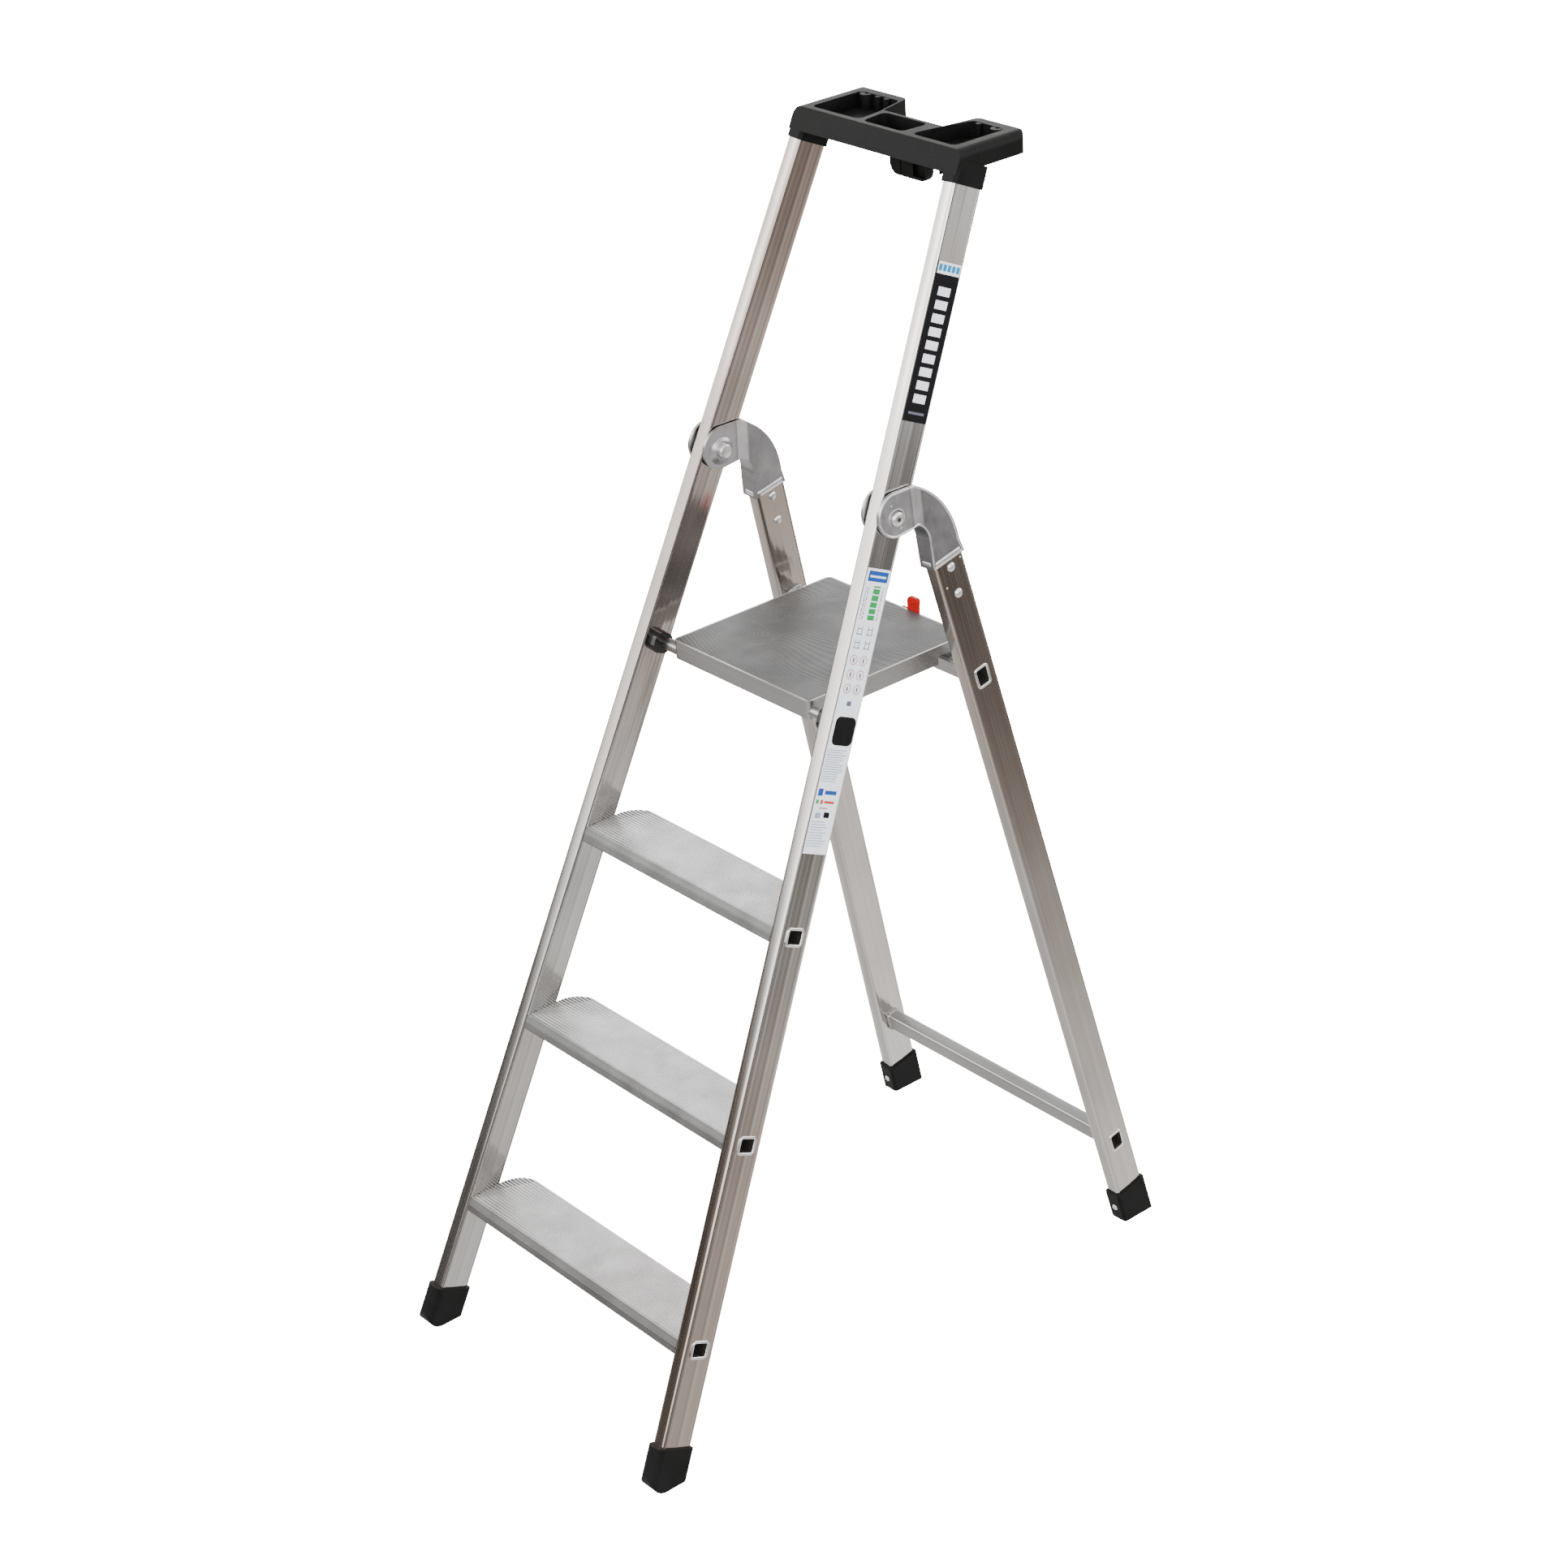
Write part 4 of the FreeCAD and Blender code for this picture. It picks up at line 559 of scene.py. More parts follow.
def build_stiles():
    for side, word in SIDES:
        matrix = front_frame(side)
        # The far stile takes the darker copy of the aluminium, painted shade.
        finish = M["stile"] if side > 0 else M["far_stile_shaded"]
        stile = new_object("stile_front_" + word, *stile_mesh(27 * MM, 1676 * MM), finish, "front_frame",
                           "mill_aluminium", matrix, side)
        cut_with(stile, [box_through(matrix, tread_tube_centre(index), FRONT_LEAN, TREAD_HOLE)
                         for index in range(3)])
        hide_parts("front_stile_" + word)
        matrix = rear_frame(side)
        top = rear_along(BRACKET_REACH) - 0.1 * MM
        stile = new_object("stile_rear_" + word, *stile_mesh(5 * MM, top), M["rear"], "rear_frame",
                           "mill_aluminium", matrix, side)
        cut_with(stile, [box_through(matrix, bar_centre(height), REAR_LEAN, BAR_HOLE)
                         for height in BARS.values()])
        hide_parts("rear_stile_" + word)


def rear_along(reach):
    """The place on the rear stile that lies a distance below the hinge pin."""
    lean = -REAR_LEAN
    forward = REAR_Y - HINGE.y
    return HINGE.z * math.cos(lean) / math.cos(REAR_SPLAY) + forward * math.sin(lean) - reach


# ---------------------------------------- through tubes

# (growth, rise from the stile's face) in mm: a rim from the tube's inside, over its roll, to its outside
RIM_LEVELS = [(-1.9, -24.0), (-1.9, 0.2), (-1.5, 0.85), (-0.8, 1.25), (0.2, 1.35), (1.14, 1.15), (1.9, 0.6),
              (1.9, -0.6), (-0.4, -0.6), (-0.4, -24.0)]
WELL_LEVELS = [(-1.95, -1.4), (-2.05, -12.0), (-2.05, -23.0)]


def tube_rings(levels, centre, section, stile):
    """Rings round a through tube at its right end."""
    half_width, lean, splay = stile
    origin = Vector((half_width - centre[1] * math.tan(splay), *centre))
    outward = Vector((math.cos(splay), 0, math.sin(splay)))
    back = Vector((0, math.cos(lean), -math.sin(lean)))
    up = Vector((-math.sin(splay), math.sin(lean), math.cos(lean))).normalized()
    rings = []
    for growth, rise in levels:
        depth, height = (length + 2 * growth * MM for length in section)
        points = rounded_rectangle(depth, height, TUBE_CORNER + growth * MM)
        rings.append([origin + outward * (rise * MM) + back * a + up * b for a, b in points])
    return rings


def finish_tube(name, centre, section, stile, body, slot):
    """The rolled-over rims and the unlit insides at both ends of a through tube."""
    rings = tube_rings(RIM_LEVELS, centre, section, stile)
    verts, faces = loft(rings, caps=(False, False))
    count = len(rings[0])
    last = len(verts) - count
    for i in range(count):
        j = (i + 1) % count
        faces.append((last + i, last + j, j, i))
    rim = verts, faces
    new_object(name + "_rims", *merge(rim, mirrored(rim)), M["rim"], body, slot)
    well = loft(tube_rings(WELL_LEVELS, centre, section, stile), caps=(False, True))
    new_object(name + "_wells", *merge(well, mirrored(well)), M["unlit"], body, slot)


# ---------------------------------------- treads and crossbars

def slanted(across, along):
    """A point from its distances behind and up the climbing stiles' front face."""
    return (across * math.cos(FRONT_LEAN) + along * math.sin(FRONT_LEAN),
            along * math.cos(FRONT_LEAN) - across * math.sin(FRONT_LEAN))


def tread_profile():
    """(y, z) outline from the nose, over the ribs to the rear lip and back under the box."""
    first_rib, last_rib, ribs = 4.2, 85.2, 18
    plate, box_depth = -3.0, 35
    points = [(0.25, -1.2), (0.7, -0.35), (1.6, 0.0), (3.2, 0.0)]
    pitch = (last_rib - first_rib) / ribs
    for k in range(ribs):
        y = first_rib + pitch * k
        points += [(y, -0.85), (y + pitch * 0.30, -0.85), (y + pitch * 0.48, 0.0), (y + pitch * 0.88, 0.0)]
    points += [(85.6, 0.0), (86.3, -0.5), (86.5, -1.2), (86.5, -11.4), (86.1, -12.0), (84.0, -12.0)]
    points += [(83.5, -11.4), (83.5, -3.2), (83.0, plate)]
    along = (plate + box_depth * math.sin(FRONT_LEAN)) / math.cos(FRONT_LEAN)
    points += [(slanted(box_depth, along)[0] + 0.6, plate)]
    box = [(box_depth, along - 1.0), (box_depth, -18.0), (34, -19.0), (1.2, -19.0), (0.0, -17.8),
           (0.0, -9.6), (0.5, -9.2), (0.5, -8.6), (0.0, -8.2)]
    points += [slanted(*place) for place in box]
    return [(y * MM, z * MM) for y, z in points]


def tread_mesh(index):
    """A tread between the splayed stiles, with round corners in plan at its rear."""
    corner = 35 * MM
    top, gap = TREAD_TOPS[index], 0.05 * MM
    right = []
    for y, z in tread_profile():
        limit = FRONT_HALF - STILE_WIDTH / math.cos(FRONT_SPLAY) - (top + z) * math.tan(FRONT_SPLAY) - gap
        over = y - (TREAD_DEPTH - corner)
        if over > 0:
            limit -= corner - math.sqrt(max(0.0, corner * corner - over * over))
        right.append((limit, tread_edge_y(index) + y, top + z))
    return loft([[(x * f, y, z) for x, y, z in right] for f in (-1.0, -0.5, 0.0, 0.5, 1.0)])


def build_treads():
    for index in range(3):
        name = "step_%d" % (index + 1)
        piece = new_object(name, *tread_mesh(index), M["tread"], "front_frame", "tread_aluminium", smooth=28)
        finish_tube(name, tread_tube_centre(index), TREAD_TUBE, FRONT_SIDE, "front_frame", "tread_aluminium")
        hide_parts("tread_%d" % (index + 1))


def ridged_bar(ridges):
    """A crossbar's section, whose front and rear faces carry fine lengthwise ridges."""
    points = rounded_rectangle(*BAR_TUBE, TUBE_CORNER, 5)
    steps = ridges * 4
    out = []
    for i, (a, b) in enumerate(points):
        out.append((a, b))
        next_a, next_b = points[(i + 1) % len(points)]
        if abs(a - next_a) < 1e-6 and abs(b - next_b) > 8 * MM:
            for k in range(1, steps):
                t = k / steps
                lift = 0.35 * MM * (0.5 - 0.5 * math.cos(2 * math.pi * ridges * t))
                out.append((a - math.copysign(lift, a), b + (next_b - b) * t))
    return out


# (growth, distance past the inner stile face) in mm: the bulge of a crossbar where it meets the stile
BAR_BEAD = [(-0.2, 0.2), (1.5, 0.1), (2.1, -1.0), (1.9, -2.6), (0.9, -4.2), (-0.4, -5.2)]


def bar_mesh(height):
    y, z = bar_centre(height)
    back = Vector((0, math.cos(REAR_LEAN), -math.sin(REAR_LEAN)))
    up = Vector((0, math.sin(REAR_LEAN), math.cos(REAR_LEAN)))
    reach = REAR_HALF - height * math.tan(REAR_SPLAY) - STILE_WIDTH / math.cos(REAR_SPLAY)

    def ring(x, points):
        return [Vector((x, y, z)) + back * a + up * b for a, b in points]

    parts = [loft([ring(f * (reach + 1.5 * MM), ridged_bar(5)) for f in (-1.0, -0.5, 0.0, 0.5, 1.0)])]
    for side in (1, -1):
        bead = []
        for growth, away in BAR_BEAD:
            depth, tall = (length + 2 * growth * MM for length in BAR_TUBE)
            outline = rounded_rectangle(depth, tall, TUBE_CORNER + growth * MM)
            bead.append(ring(side * (reach + away * MM), outline))
        parts.append(loft(bead))
    return merge(*parts)


def build_bars():
    for word, height in BARS.items():
        name = "bar_" + word
        bar = new_object(name, *bar_mesh(height), M["bar"], "rear_frame", "mill_aluminium", smooth=30)
        finish_tube(name, bar_centre(height), BAR_TUBE, REAR_SIDE, "rear_frame", "mill_aluminium")
        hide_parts(word + "_crossbar")


# ---------------------------------------- hinge brackets

def arc_through(a, b, c, steps):
    """Points on the circle through three (y, z) points, from a to c."""
    ax, ay = a
    bx, by = b
    cx, cy = c
    d = 2 * (ax * (by - cy) + bx * (cy - ay) + cx * (ay - by))
    a2, b2, c2 = ax * ax + ay * ay, bx * bx + by * by, cx * cx + cy * cy
    ux = (a2 * (by - cy) + b2 * (cy - ay) + c2 * (ay - by)) / d
    uy = (a2 * (cx - bx) + b2 * (ax - cx) + c2 * (bx - ax)) / d
    radius = math.hypot(ax - ux, ay - uy)
    start = math.atan2(ay - uy, ax - ux)
    middle = math.atan2(by - uy, bx - ux)
    end = math.atan2(cy - uy, cx - ux)
    while middle < start:
        middle += 2 * math.pi
    while end < start:
        end += 2 * math.pi
    if middle > end:
        start += 2 * math.pi
    return arc(ux, uy, radius, math.degrees(start), math.degrees(end), steps)


def down_arm(behind, below):
    """A point of a bracket's arm, in mm behind the hinge and below it along the rear stile."""
    lean = -REAR_LEAN
    return (behind * math.cos(lean) + below * math.sin(lean),
            behind * math.sin(lean) - below * math.cos(lean))


def bracket_outline():
    """(y, z) outline of a bracket's side: round the disc, over the back, down the arm and up its throat."""
    radius, rise = 28.5, 4.5
    front, rear, reach = 35.5, 86.9, BRACKET_REACH / MM
    start = math.radians(-80)
    points = arc_through((radius * math.cos(start), rise + radius * math.sin(start)), (-radius, rise),
                         (0, rise + radius), 40)
    points += arc_through((31, 32.5), (77, -2), (99.5, -57), 30)
    foot = [(rear, reach - 4), (rear, reach), (front, reach), (front, reach - 4)]
    points += [down_arm(*place) for place in foot]
    points += arc_through((52.6, -49.1), (45, -28), (33.3, -20), 12)
    points += [(20, -21.8)]
    return [(y * MM, z * MM) for y, z in points]


def cheek_surface(y, z):
    """How far the bracket's outer surface stands out: most at the disc, least on the arm."""
    low, high = 5.8 * MM, 0.8 * MM
    t = z / MM
    start = 24 + (60 - t) * 5 / 170
    end = 46 + (60 - t) * 3 / 170
    blend = min(1.0, max(0.0, (y / MM - start) / (end - start)))
    return low + (high - low) * blend


def inward(points, distance):
    """The closed outline moved inwards by a distance."""
    moved = []
    count = len(points)
    area = sum(points[i][0] * points[(i + 1) % count][1] - points[(i + 1) % count][0] * points[i][1]
               for i in range(count))
    turn = 1 if area > 0 else -1
    for i in range(count):
        before = Vector(points[i - 1])
        here = Vector(points[i])
        after = Vector(points[(i + 1) % count])
        first = (here - before).normalized()
        second = (after - here).normalized()
        normal = Vector((-(first.y + second.y), first.x + second.x)) * turn
        if normal.length < 1e-9:
            normal = Vector((-first.y, first.x)) * turn
        normal.normalize()
        cosine = max(0.5, abs(normal.dot(Vector((-first.y, first.x)))))
        moved.append(tuple(here + normal * (distance / cosine)))
    return moved


# (distance inside the outline, rise) in mm: the section of the raised bead
BEAD_SECTION = [(0.15, -0.9), (0.15, 0.55), (0.6, 1.05), (1.4, 1.2), (2.2, 1.05), (2.9, 0.5), (3.4, -0.4)]
# (height, growth) in mm: the thick edge at the foot of a bracket
SILL_LEVELS = [(0.0, -1.0), (0.15, 2.6), (1.2, 3.5), (6.5, 3.7), (8.4, 2.9), (9.2, 1.6)]


def bracket_bead():
    """The raised bead that follows the whole edge of the bracket's outer side."""
    outline = bracket_outline()
    rings = []
    for distance, rise in BEAD_SECTION:
        rings.append([(cheek_surface(y, z) + rise * MM, y, z) for y, z in inward(outline, distance * MM)])
    return loft(rings, caps=(False, False))


def bracket_sill():
    """The thick edge round the rear stile, in the stile's frame."""
    low = rear_along(BRACKET_REACH)
    rings = []
    for height, growth in SILL_LEVELS:
        depth = STILE_DEPTH + growth * MM
        outline = rounded_rectangle(STILE_WIDTH + 2 * growth * MM, depth, (5.0 + max(0.0, growth)) * MM)
        rings.append([(x - STILE_WIDTH / 2, y + depth / 2 - growth * MM, low + height * MM)
                      for x, y in outline])
    return loft(rings)


def build_brackets():
    for side, word in SIDES:
        matrix = bracket_frame(side)
        new_object("bracket_bead_" + word, *bracket_bead(), M["cast_highlight"], "rear_frame", "cast_aluminium",
                   matrix, side, smooth=50)
        seat = cheek_surface(0, 0) - 0.05 * MM
        pips = [dome(1.3, 0.7, (seat, y * MM, z * MM)) for y, z in ((-6.5, 17.5), (5.5, -13.5))]
        new_object("bracket_pips_" + word, *merge(*pips), M["cast_highlight"], "rear_frame", "cast_aluminium",
                   matrix, side)
        matrix = rear_frame(side)
        new_object("bracket_sill_" + word, *bracket_sill(), M["cast_highlight"], "rear_frame", "cast_aluminium",
                   matrix, side, smooth=50)
        pips = [dome(1.5, 0.8, (-0.4 * MM, across * MM, rear_along(below * MM)))
                for across, below in ((41.0, 104.0), (9.0, 131.0))]
        new_object("stile_pips_" + word, *merge(*pips), M["steel"], "rear_frame", "bright_steel",
                   matrix, side)


# ---------------------------------------- fasteners: (radius, height) profiles in mm

RIVET_HEAD = [(3.0, -0.5), (6.0, -0.1), (6.2, 0.35), (6.0, 0.8), (5.3, 1.5), (4.2, 2.15), (2.8, 2.6),
              (1.4, 2.85), (0.3, 2.9)]
FOOT_RIVET_HEAD = [(radius * 0.76, height * 0.74) for radius, height in RIVET_HEAD]
BOLT_HEAD = [(5.0, -0.4), (12.6, -0.3), (12.9, 0.2), (12.7, 0.8), (11.9, 1.0), (11.3, 0.8), (10.9, 0.15),
             (9.5, 0.1), (9.2, 0.4), (9.15, 2.6), (8.3, 3.7), (6.6, 4.5), (4.4, 4.9), (0.4, 5.0)]
BOLT_SOCKET = [(3.2, -0.42), (3.2, 3.0)]
SOCKET_SHADOW = [(0.2, 4.4), (2.9, 4.4), (2.9, 5.06), (0.2, 5.06)]
SEAT_SHADOW = [(9.3, 0.16), (9.3, 0.24), (11.0, 0.24), (11.0, 0.16)]
NUT_HEAD = [(5.2, -0.3), (9.2, -0.2), (9.3, 0.4), (9.3, 4.2), (8.7, 5.0), (7.8, 5.35), (0.4, 5.4)]
BOLT_REACH, NUT_REACH, RIVET_LIFT = 5.35 * MM, 31.15 * MM, 0.03 * MM


def friction_disc(start, end):
    """A thin disc round the hinge axis, between two distances out from the front stile's face in mm."""
    bore, radius, edge = 5.6, 24.5, 0.1
    profile = [(bore, start), (radius - edge, start), (radius, start + edge), (radius, end - edge),
               (radius - edge, end), (bore, end)]
    return lathe(profile, (0, 0, 0), OUTWARD, 56)


def build_rivets(side, word):
    matrix = rear_frame(side)
    heads = []
    for below in (108.0, 146.0):
        along = rear_along(below * MM)
        heads.append(lathe(RIVET_HEAD, (RIVET_LIFT, STILE_DEPTH / 2, along), OUTWARD))
        heads.append(lathe(RIVET_HEAD, (-STILE_WIDTH - RIVET_LIFT, STILE_DEPTH / 2, along), (-1, 0, 0)))
    new_object("rivet_heads_" + word, *merge(*heads), M["steel"], "rear_frame", "bright_steel", matrix, side)
    head = lathe(FOOT_RIVET_HEAD, (-STILE_WIDTH / 2, -3.24 * MM, 22 * MM), (0, -1, 0))
    new_object("foot_rivet_head_" + word, *head, M["steel"], "rear_frame", "bright_steel", matrix, side)


def build_hinge_parts(side, word):
    head_at = hinge_pin() + Vector((BOLT_REACH, 0, 0))
    nut_at = hinge_pin() - Vector((NUT_REACH, 0, 0))
    bolt = new_object("bolt_head_" + word, *lathe(BOLT_HEAD, head_at, OUTWARD), M["steel"], "front_frame",
                      "bright_steel", None, side)
    socket = lathe(BOLT_SOCKET, head_at + Vector((5.0 * MM, 0, 0)), OUTWARD, 6)
    cut_with(bolt, [socket if side > 0 else mirrored(socket)])
    shadow = merge(lathe(SOCKET_SHADOW, head_at, OUTWARD, 6), lathe(SEAT_SHADOW, head_at, OUTWARD))
    new_object("bolt_shadow_" + word, *shadow, M["unlit"], "front_frame", "bright_steel", None, side)
    discs = merge(friction_disc(0.16, 0.48), friction_disc(-21.48, -21.16))
    new_object("friction_discs_" + word, *discs, M["disc"], "front_frame", "washer_nylon",
               bracket_frame(side), side)
    nut = lathe(NUT_HEAD, nut_at, (-1, 0, 0))
    new_object("nut_cap_" + word, *nut, M["steel"], "front_frame", "bright_steel", None, side)


def build_fasteners():
    """Rivet heads, bolt heads and nuts, seated over the CAD's plain ones."""
    for side, word in SIDES:
        build_rivets(side, word)
        build_hinge_parts(side, word)


# ---------------------------------------- platform surface

# (across, along, size, height) of the grain's knots, as parts of the deck
KNOTS = ((-0.16, 0.22, 0.10, 0.16), (0.24, 0.62, 0.12, -0.14), (-0.28, 0.80, 0.09, 0.12))
RIB_COUNT, RIB_HEIGHT = 48.0, 0.26 * MM


def grain_height(x, y):
    """Wavy contour ribs like those of sawn wood, as a height in metres."""
    u, v = x / (2 * DECK_HALF), y / DECK_DEPTH
    bend = 0.10 * math.sin(2.2 * u + 3.1 * v + 0.6) + 0.05 * math.sin(7.0 * v - 3.0 * u + 1.4)
    knot = 0.0
    for cx, cy, size, tall in KNOTS:
        away = ((u - cx) ** 2 * 2.4 + (v - cy) ** 2) / (size * size)
        knot += tall * math.exp(-away)
    return RIB_HEIGHT * (0.5 + 0.5 * math.sin(2 * math.pi * RIB_COUNT * (v + bend + knot)))


def build_deck():
    """A ribbed skin on the platform's top, whose edge dips just below the sheet."""
    inset = 2.4 * MM
    edge_sink, skin_lift = 0.05 * MM, 0.02 * MM
    columns, rows = 300, 330
    half = DECK_HALF - inset
    low_y, high_y = DECK_FRONT + inset, DECK_FRONT + DECK_DEPTH - inset
    verts, faces = [], []
    for j in range(rows + 1):
        for i in range(columns + 1):
            x = -half + 2 * half * i / columns
            y = low_y + (high_y - low_y) * j / rows
            at_edge = min(i, j, columns - i, rows - j) == 0
            lift = -edge_sink if at_edge else skin_lift + grain_height(x, y - DECK_FRONT)
            verts.append((x, y, DECK_TOP + lift))
    for j in range(rows):
        for i in range(columns):
            a = j * (columns + 1) + i
            faces.append((a, a + 1, a + columns + 2, a + columns + 1))
    new_object("deck_grain", verts, faces, M["deck"], "platform", "deck_aluminium", smooth=80)


# ---------------------------------------- labels

def print_patches(name, slot, patches):
    """Flat printed shapes on a label; each patch is (material, across, across, along, along) in mm."""
    groups = {}
    for kind, a0, a1, z0, z1 in patches:
        groups.setdefault(kind, [])
        x = 0.33 + 0.02 * (1 + list(groups).index(kind))
        corners = [(x, a0, z0), (x, a1, z0), (x, a1, z1), (x, a0, z1)]
        groups[kind].append(([(a * MM, b * MM, c * MM) for a, b, c in corners], [(0, 1, 2, 3)]))
    for kind, parts in groups.items():
        new_object(name + "_" + kind, *merge(*parts), M[kind], "front_frame", slot, front_frame(1), smooth=0)


def ring_patches(kind, across, along, radius, thick):
    """A small ring drawn with short blocks."""
    made = []
    steps = 14
    for k in range(steps):
        angle = 2 * math.pi * k / steps
        a = across + radius * math.cos(angle)
        z = along + radius * math.sin(angle)
        made.append((kind, a - thick, a + thick, z - thick, z + thick))
    return made


def text_lines(kind, start, end, pitch, narrow, wide):
    """Rows of thin bars of random length, as small print looks from afar."""
    rows = []
    along = start
    while along > end:
        rows.append((kind, 6.5, 6.5 + random.uniform(narrow, wide), along, along + 1.1))
        along -= pitch
    return rows


def dashes(kind, low, high, start, end, shortest, longest, gap):
    """A broken line along the label."""
    made = []
    along = start
    while along < end:
        length = random.uniform(shortest, longest)
        made.append((kind, low, high, along, min(end, along + length)))
        along += length + gap
    return made


def build_upper_print():
    """Squares on a white band, a row of equal bars and a short line."""
    patches = [("white_film", 5.2, 42.8, 1552.0, 1566.6)]
    for k in range(5):
        patches.append(("sky_film", 7.0 + 7.2 * k, 12.4 + 7.2 * k, 1555.5, 1563.5))
    for k in range(9):
        along = 1397 + 16.2 * k
        patches.append(("white_film", 14, 34, along, along + 10.5))
    patches.append(("grey_film", 11, 37, 1383, 1386))
    print_patches("upper_print", "dark_label", patches)


# (across, across, along, along) in mm: four bars that make one small frame
FRAME_BARS = ((-5, 5, -5.8, -4.8), (-4, -3, -4.8, 5), (3, 4, -4.8, 5), (-3, 3, 1, 2))


def build_lower_print():
    """Blocks, broken lines, frames, rings and thin bars above and below the plug."""
    patches = [("blue_film", 8, 40, 1178, 1191), ("white_film", 11, 37, 1183, 1185.5)]
    patches += dashes("green_film", 21, 32, 1131, 1173, 4.5, 7.0, 1.6)
    for across in (9, 12.5, 36.5):
        patches += dashes("grey_film", across - 0.6, across + 0.6, 1131, 1171, 2, 6, 1.3)
    for along in (1118, 1101):
        for across in (14, 31):
            for a0, a1, z0, z1 in FRAME_BARS:
                patches.append(("grey_film", across + a0, across + a1, along + z0, along + z1))
    for along in (1081, 1063, 1045):
        for across in (15, 31):
            patches += ring_patches("pink_film", across, along, 5.6, 0.8)
            patches.append(("grey_film", across - 1.1, across + 1.1, along - 3, along + 2.4))
    patches.append(("grey_film", 20, 27, 1024, 1030))
    patches += text_lines("pale_blue_film", 968, 926, 3.0, 22, 32)
    patches += [("blue_film", 7, 15, 911, 920), ("blue_film", 18, 37, 913, 918),
                ("green_film", 7, 11, 901, 906), ("red_film", 14, 18, 901, 906),
                ("red_film", 20, 36, 902, 905), ("pink_film", 14, 28, 895, 896.5),
                ("dark_film", 24, 33, 884, 891), ("pale_blue_film", 10, 19, 883, 890)]
    patches += text_lines("pale_blue_film", 878, 845, 3.4, 21, 32)
    print_patches("lower_print", "white_label", patches)


# ---------------------------------------- CAD nodes that stay

def dress(node, mat):
    """Gives a CAD node its own material, and returns the node."""
    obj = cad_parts[node]
    obj.data.materials.clear()
    obj.data.materials.append(mat)
    return obj


def soften(node, mat, width, angle=40, segments=2):
    """Gives a CAD node rounded edges and its own material."""
    obj = dress(node, mat)
    flat = obj.modifiers.new("flat", "DECIMATE")
    flat.decimate_type = "DISSOLVE"
    flat.angle_limit = math.radians(1.0)
    bevel = obj.modifiers.new("edges", "BEVEL")
    bevel.width = width
    bevel.segments = segments
    bevel.limit_method = "ANGLE"
    bevel.angle_limit = math.radians(angle)


def dress_nodes():
    soften("top_tray", M["black"], 1.5 * MM, 35, 3)
    soften("release_latch", M["red"], 0.7 * MM)
    # The deck's edges take the lighter copy of its aluminium, painted highlight.
    soften("platform_deck", M["deck_rim_lit"], 1.6 * MM, 60, 3)
    for side in ("left", "right"):
        soften("hinge_bracket_" + side, M["cast"], 0.8 * MM)
        dress("hinge_bolt_" + side, M["steel"])
        dress("hinge_nut_" + side, M["steel"])
        soften("pivot_bush_" + side, M["gloss_black"], 0.8 * MM)
        soften("pivot_plug_" + side, M["black"], 0.5 * MM)
        soften("front_foot_" + side, M["foot"], 0.9 * MM)
        soften("rear_foot_" + side, M["foot"], 0.9 * MM)
    for node in ("bracket_rivets", "rear_foot_rivets", "latch_pin"):
        dress(node, M["steel"])
    dress("hinge_washers", M["washer"])
    dress("platform_pivot_tube", M["bar"])
    soften("upper_label", M["dark_film"], 0.05 * MM, 60)
    soften("lower_label", M["white_film"], 0.05 * MM, 60)


# ---------------------------------------- studio

def studio_surface(name, verts, faces, mat):
    """A pale surface that the camera sees and that metals and plastics don't reflect."""
    mesh = bpy.data.meshes.new(name)
    mesh.from_pydata(verts, [], faces)
    mesh.materials.append(mat)
    surface = bpy.data.objects.new(name, mesh)
    bpy.context.scene.collection.objects.link(surface)
    surface.visible_glossy = False
    surface.visible_diffuse = False
    return surface


def build_studio():
    mat, _, _, shader = material("floor")
    shader.inputs["Base Color"].default_value = (0.92, 0.92, 0.92, 1)
    shader.inputs["Roughness"].default_value = 0.9
    shader.inputs["Specular IOR Level"].default_value = 0.0
    shader.inputs["Emission Color"].default_value = (1, 1, 1, 1)
    shader.inputs["Emission Strength"].default_value = 16.0
    size = 120.0
    studio_surface("floor", [(-size, -size, 0), (size, -size, 0), (size, size, 0), (-size, size, 0)],
                   [(0, 1, 2, 3)], mat)
    build_backdrop(mat)
    build_room()
    softbox("key", (-2.6, -3.4, 3.4), (0, 0, 0.8), 2.2, 40)
    softbox("fill", (4.6, -0.6, 1.9), (0, 0, 0.9), 2.4, 75)
    softbox("top", (0, 0.2, 4.4), (0, 0, 0), 3.0, 40)


def build_backdrop(mat):
    """A pale round wall far behind everything, which lets the room's light through."""
    radius, height, sides = 80.0, 50.0, 48
    verts = []
    for k in range(sides):
        angle = 2 * math.pi * k / sides
        place = radius * math.cos(angle), radius * math.sin(angle)
        verts += [(*place, 0.0), (*place, height)]
    faces = []
    for k in range(sides):
        low, next_low = 2 * k, 2 * ((k + 1) % sides)
        faces.append((low, next_low, next_low + 1, low + 1))
    wall = studio_surface("backdrop", verts, faces, mat)
    wall.visible_shadow = False
    wall.visible_transmission = False


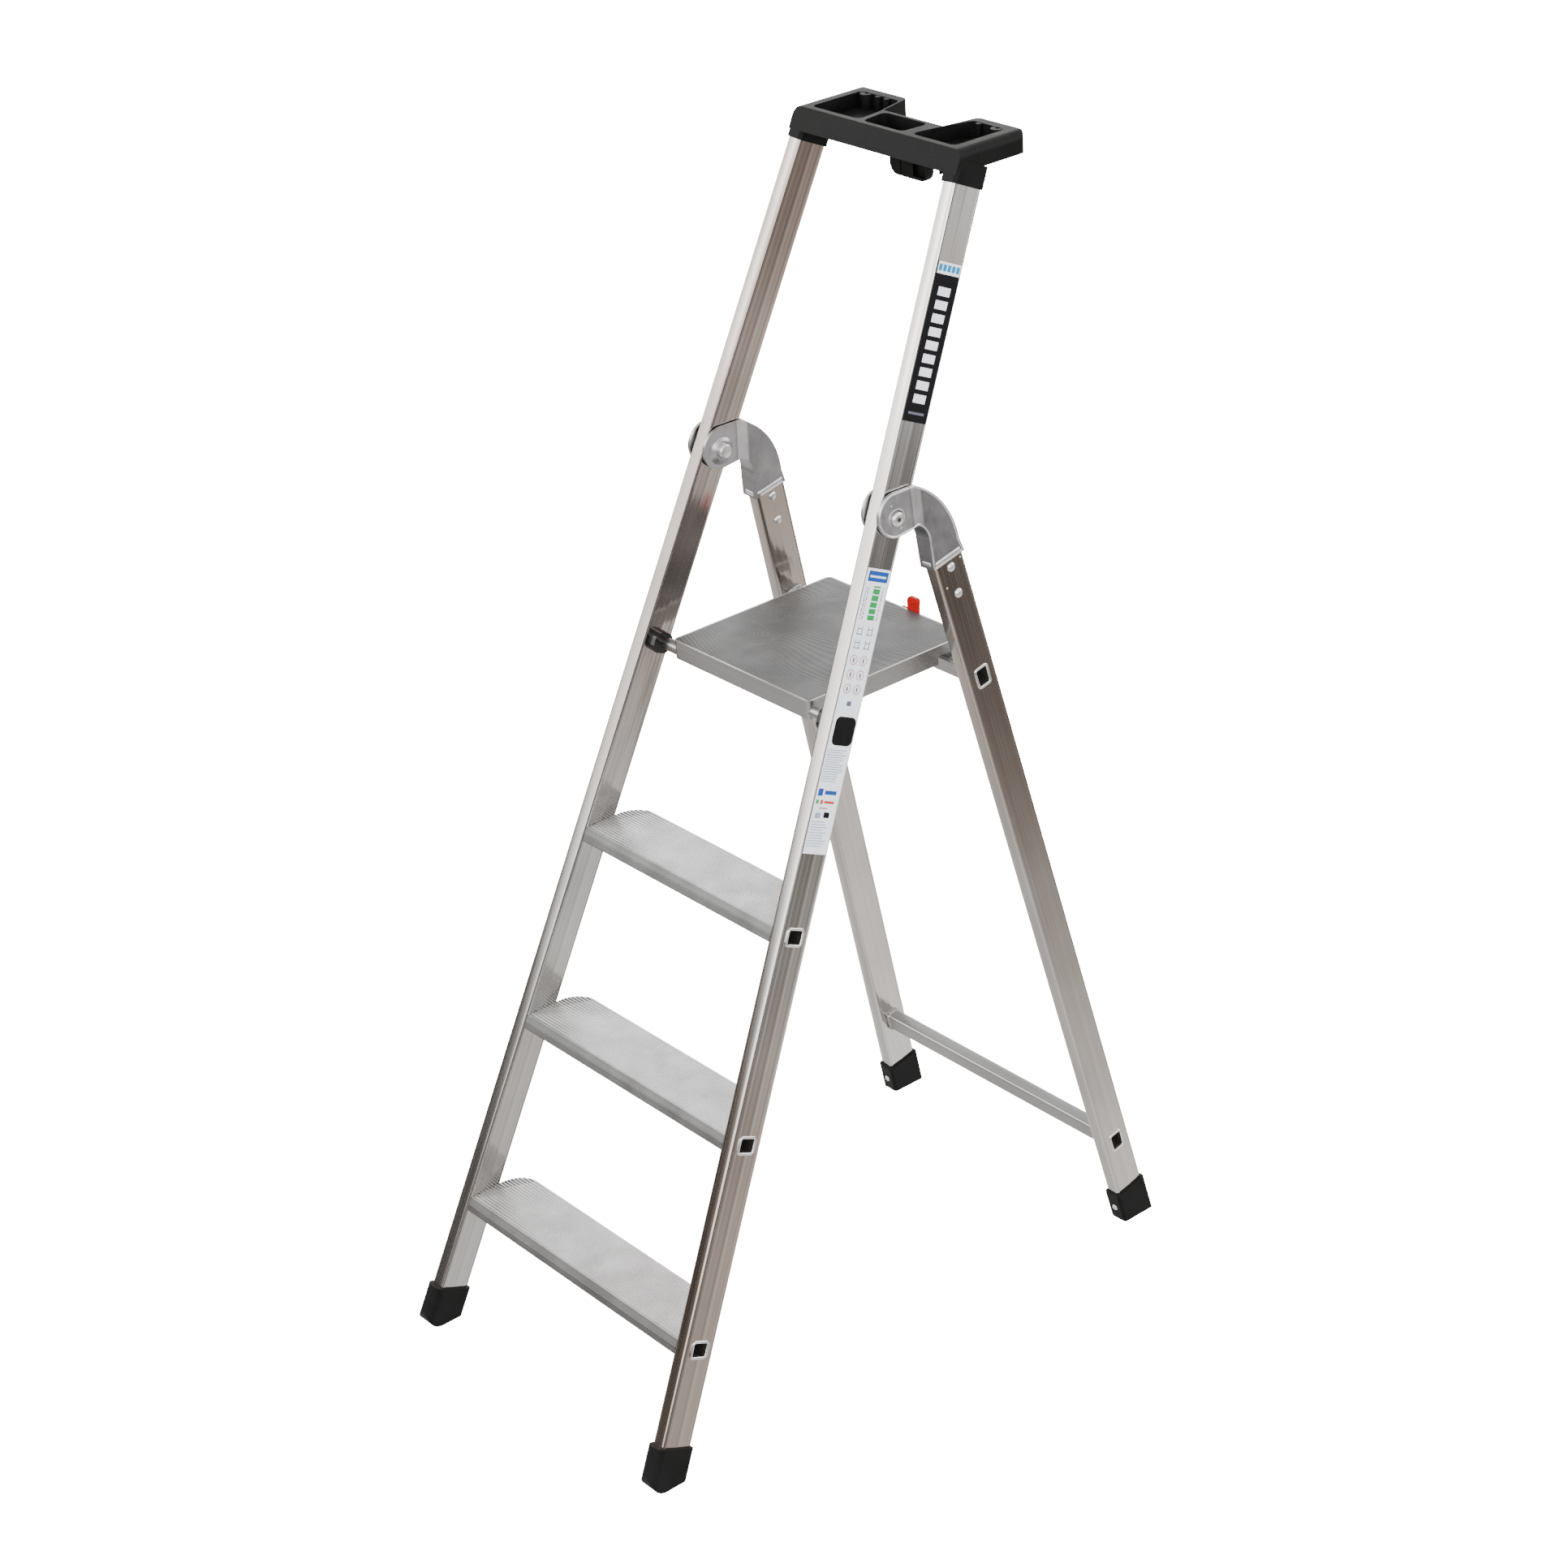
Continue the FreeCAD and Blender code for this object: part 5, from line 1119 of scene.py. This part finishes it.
def build_room():
    """Soft studio surroundings: pale above, a darker warm band below eye level."""
    world = bpy.data.worlds.new("studio")
    bpy.context.scene.world = world
    world.use_nodes = True
    nodes, links = world.node_tree.nodes, world.node_tree.links
    background = nodes["Background"]
    source = nodes.new("ShaderNodeTexCoord")
    split = nodes.new("ShaderNodeSeparateXYZ")
    links.new(source.outputs["Generated"], split.inputs["Vector"])
    half = nodes.new("ShaderNodeMath")
    half.operation = "MULTIPLY_ADD"
    half.inputs[1].default_value = 0.5
    half.inputs[2].default_value = 0.5
    links.new(split.outputs["Z"], half.inputs[0])
    tone = ramp(nodes, links, half.outputs["Value"], ROOM_TONES)
    drift = noise(nodes, links, source.outputs["Generated"], 2.3, 2.0, 0.5)
    patches = ramp(nodes, links, drift, [(0.36, grey(0.80)), (0.64, grey(1.10))])
    tone = multiply(nodes, links, tone, patches)
    swing = ramp(nodes, links, split.outputs["X"], [(0.0, grey(1.0)), (0.45, grey(1.25)), (0.66, grey(1.25)),
                                                    (0.79, grey(0.72)), (1.0, grey(0.7))])
    links.new(multiply(nodes, links, tone, swing), background.inputs["Color"])
    background.inputs["Strength"].default_value = 1.0


# (half the height of a direction plus a half, colour), from straight down to straight up
ROOM_TONES = [
    (0.00, (0.70, 0.69, 0.68)),
    (0.17, (1.20, 1.18, 1.16)),
    (0.255, (1.30, 1.26, 1.23)),
    (0.295, (0.62, 0.57, 0.53)),
    (0.335, (0.14, 0.12, 0.11)),
    (0.360, (0.30, 0.28, 0.27)),
    (0.395, grey(1.70)),
    (0.425, (0.60, 0.58, 0.56)),
    (0.450, (0.10, 0.09, 0.08)),
    (0.520, (0.16, 0.14, 0.13)),
    (0.555, (3.50, 3.46, 3.40)),
    (0.73, grey(3.60)),
    (0.80, grey(1.15)),
    (1.00, grey(1.00)),
]


def softbox(name, place, target, size, power):
    data = bpy.data.lights.new(name, "AREA")
    data.shape = "SQUARE"
    data.size = size
    data.energy = power
    light = bpy.data.objects.new(name, data)
    bpy.context.scene.collection.objects.link(light)
    light.location = place
    light.rotation_euler = (Vector(target) - Vector(place)).to_track_quat("-Z", "Y").to_euler()


def build_camera():
    yaw, pitch, roll = (math.radians(value) for value in (51.59, -27.43, -3.95))
    look = Vector((-math.sin(yaw) * math.cos(pitch), math.cos(yaw) * math.cos(pitch), math.sin(pitch)))
    right = Vector((math.cos(yaw), math.sin(yaw), 0))
    up = right.cross(look)
    turned_right = right * math.cos(roll) + up * math.sin(roll)
    turned_up = up * math.cos(roll) - right * math.sin(roll)
    data = bpy.data.cameras.new("camera")
    data.sensor_width = 36.0
    data.lens = 78.5
    data.clip_start = 0.05
    camera = bpy.data.objects.new("camera", data)
    bpy.context.scene.collection.objects.link(camera)
    rotation = Matrix((turned_right, turned_up, -look)).transposed()
    camera.matrix_world = Matrix.Translation((3.0435, -1.9225 + FRONT_Y, 2.744)) @ rotation.to_4x4()
    bpy.context.scene.camera = camera


build_stiles()
build_treads()
build_bars()
build_brackets()
build_fasteners()
build_deck()
random.seed(5)
build_upper_print()
build_lower_print()
dress_nodes()
build_studio()
build_camera()

bpy.context.view_layer.update()
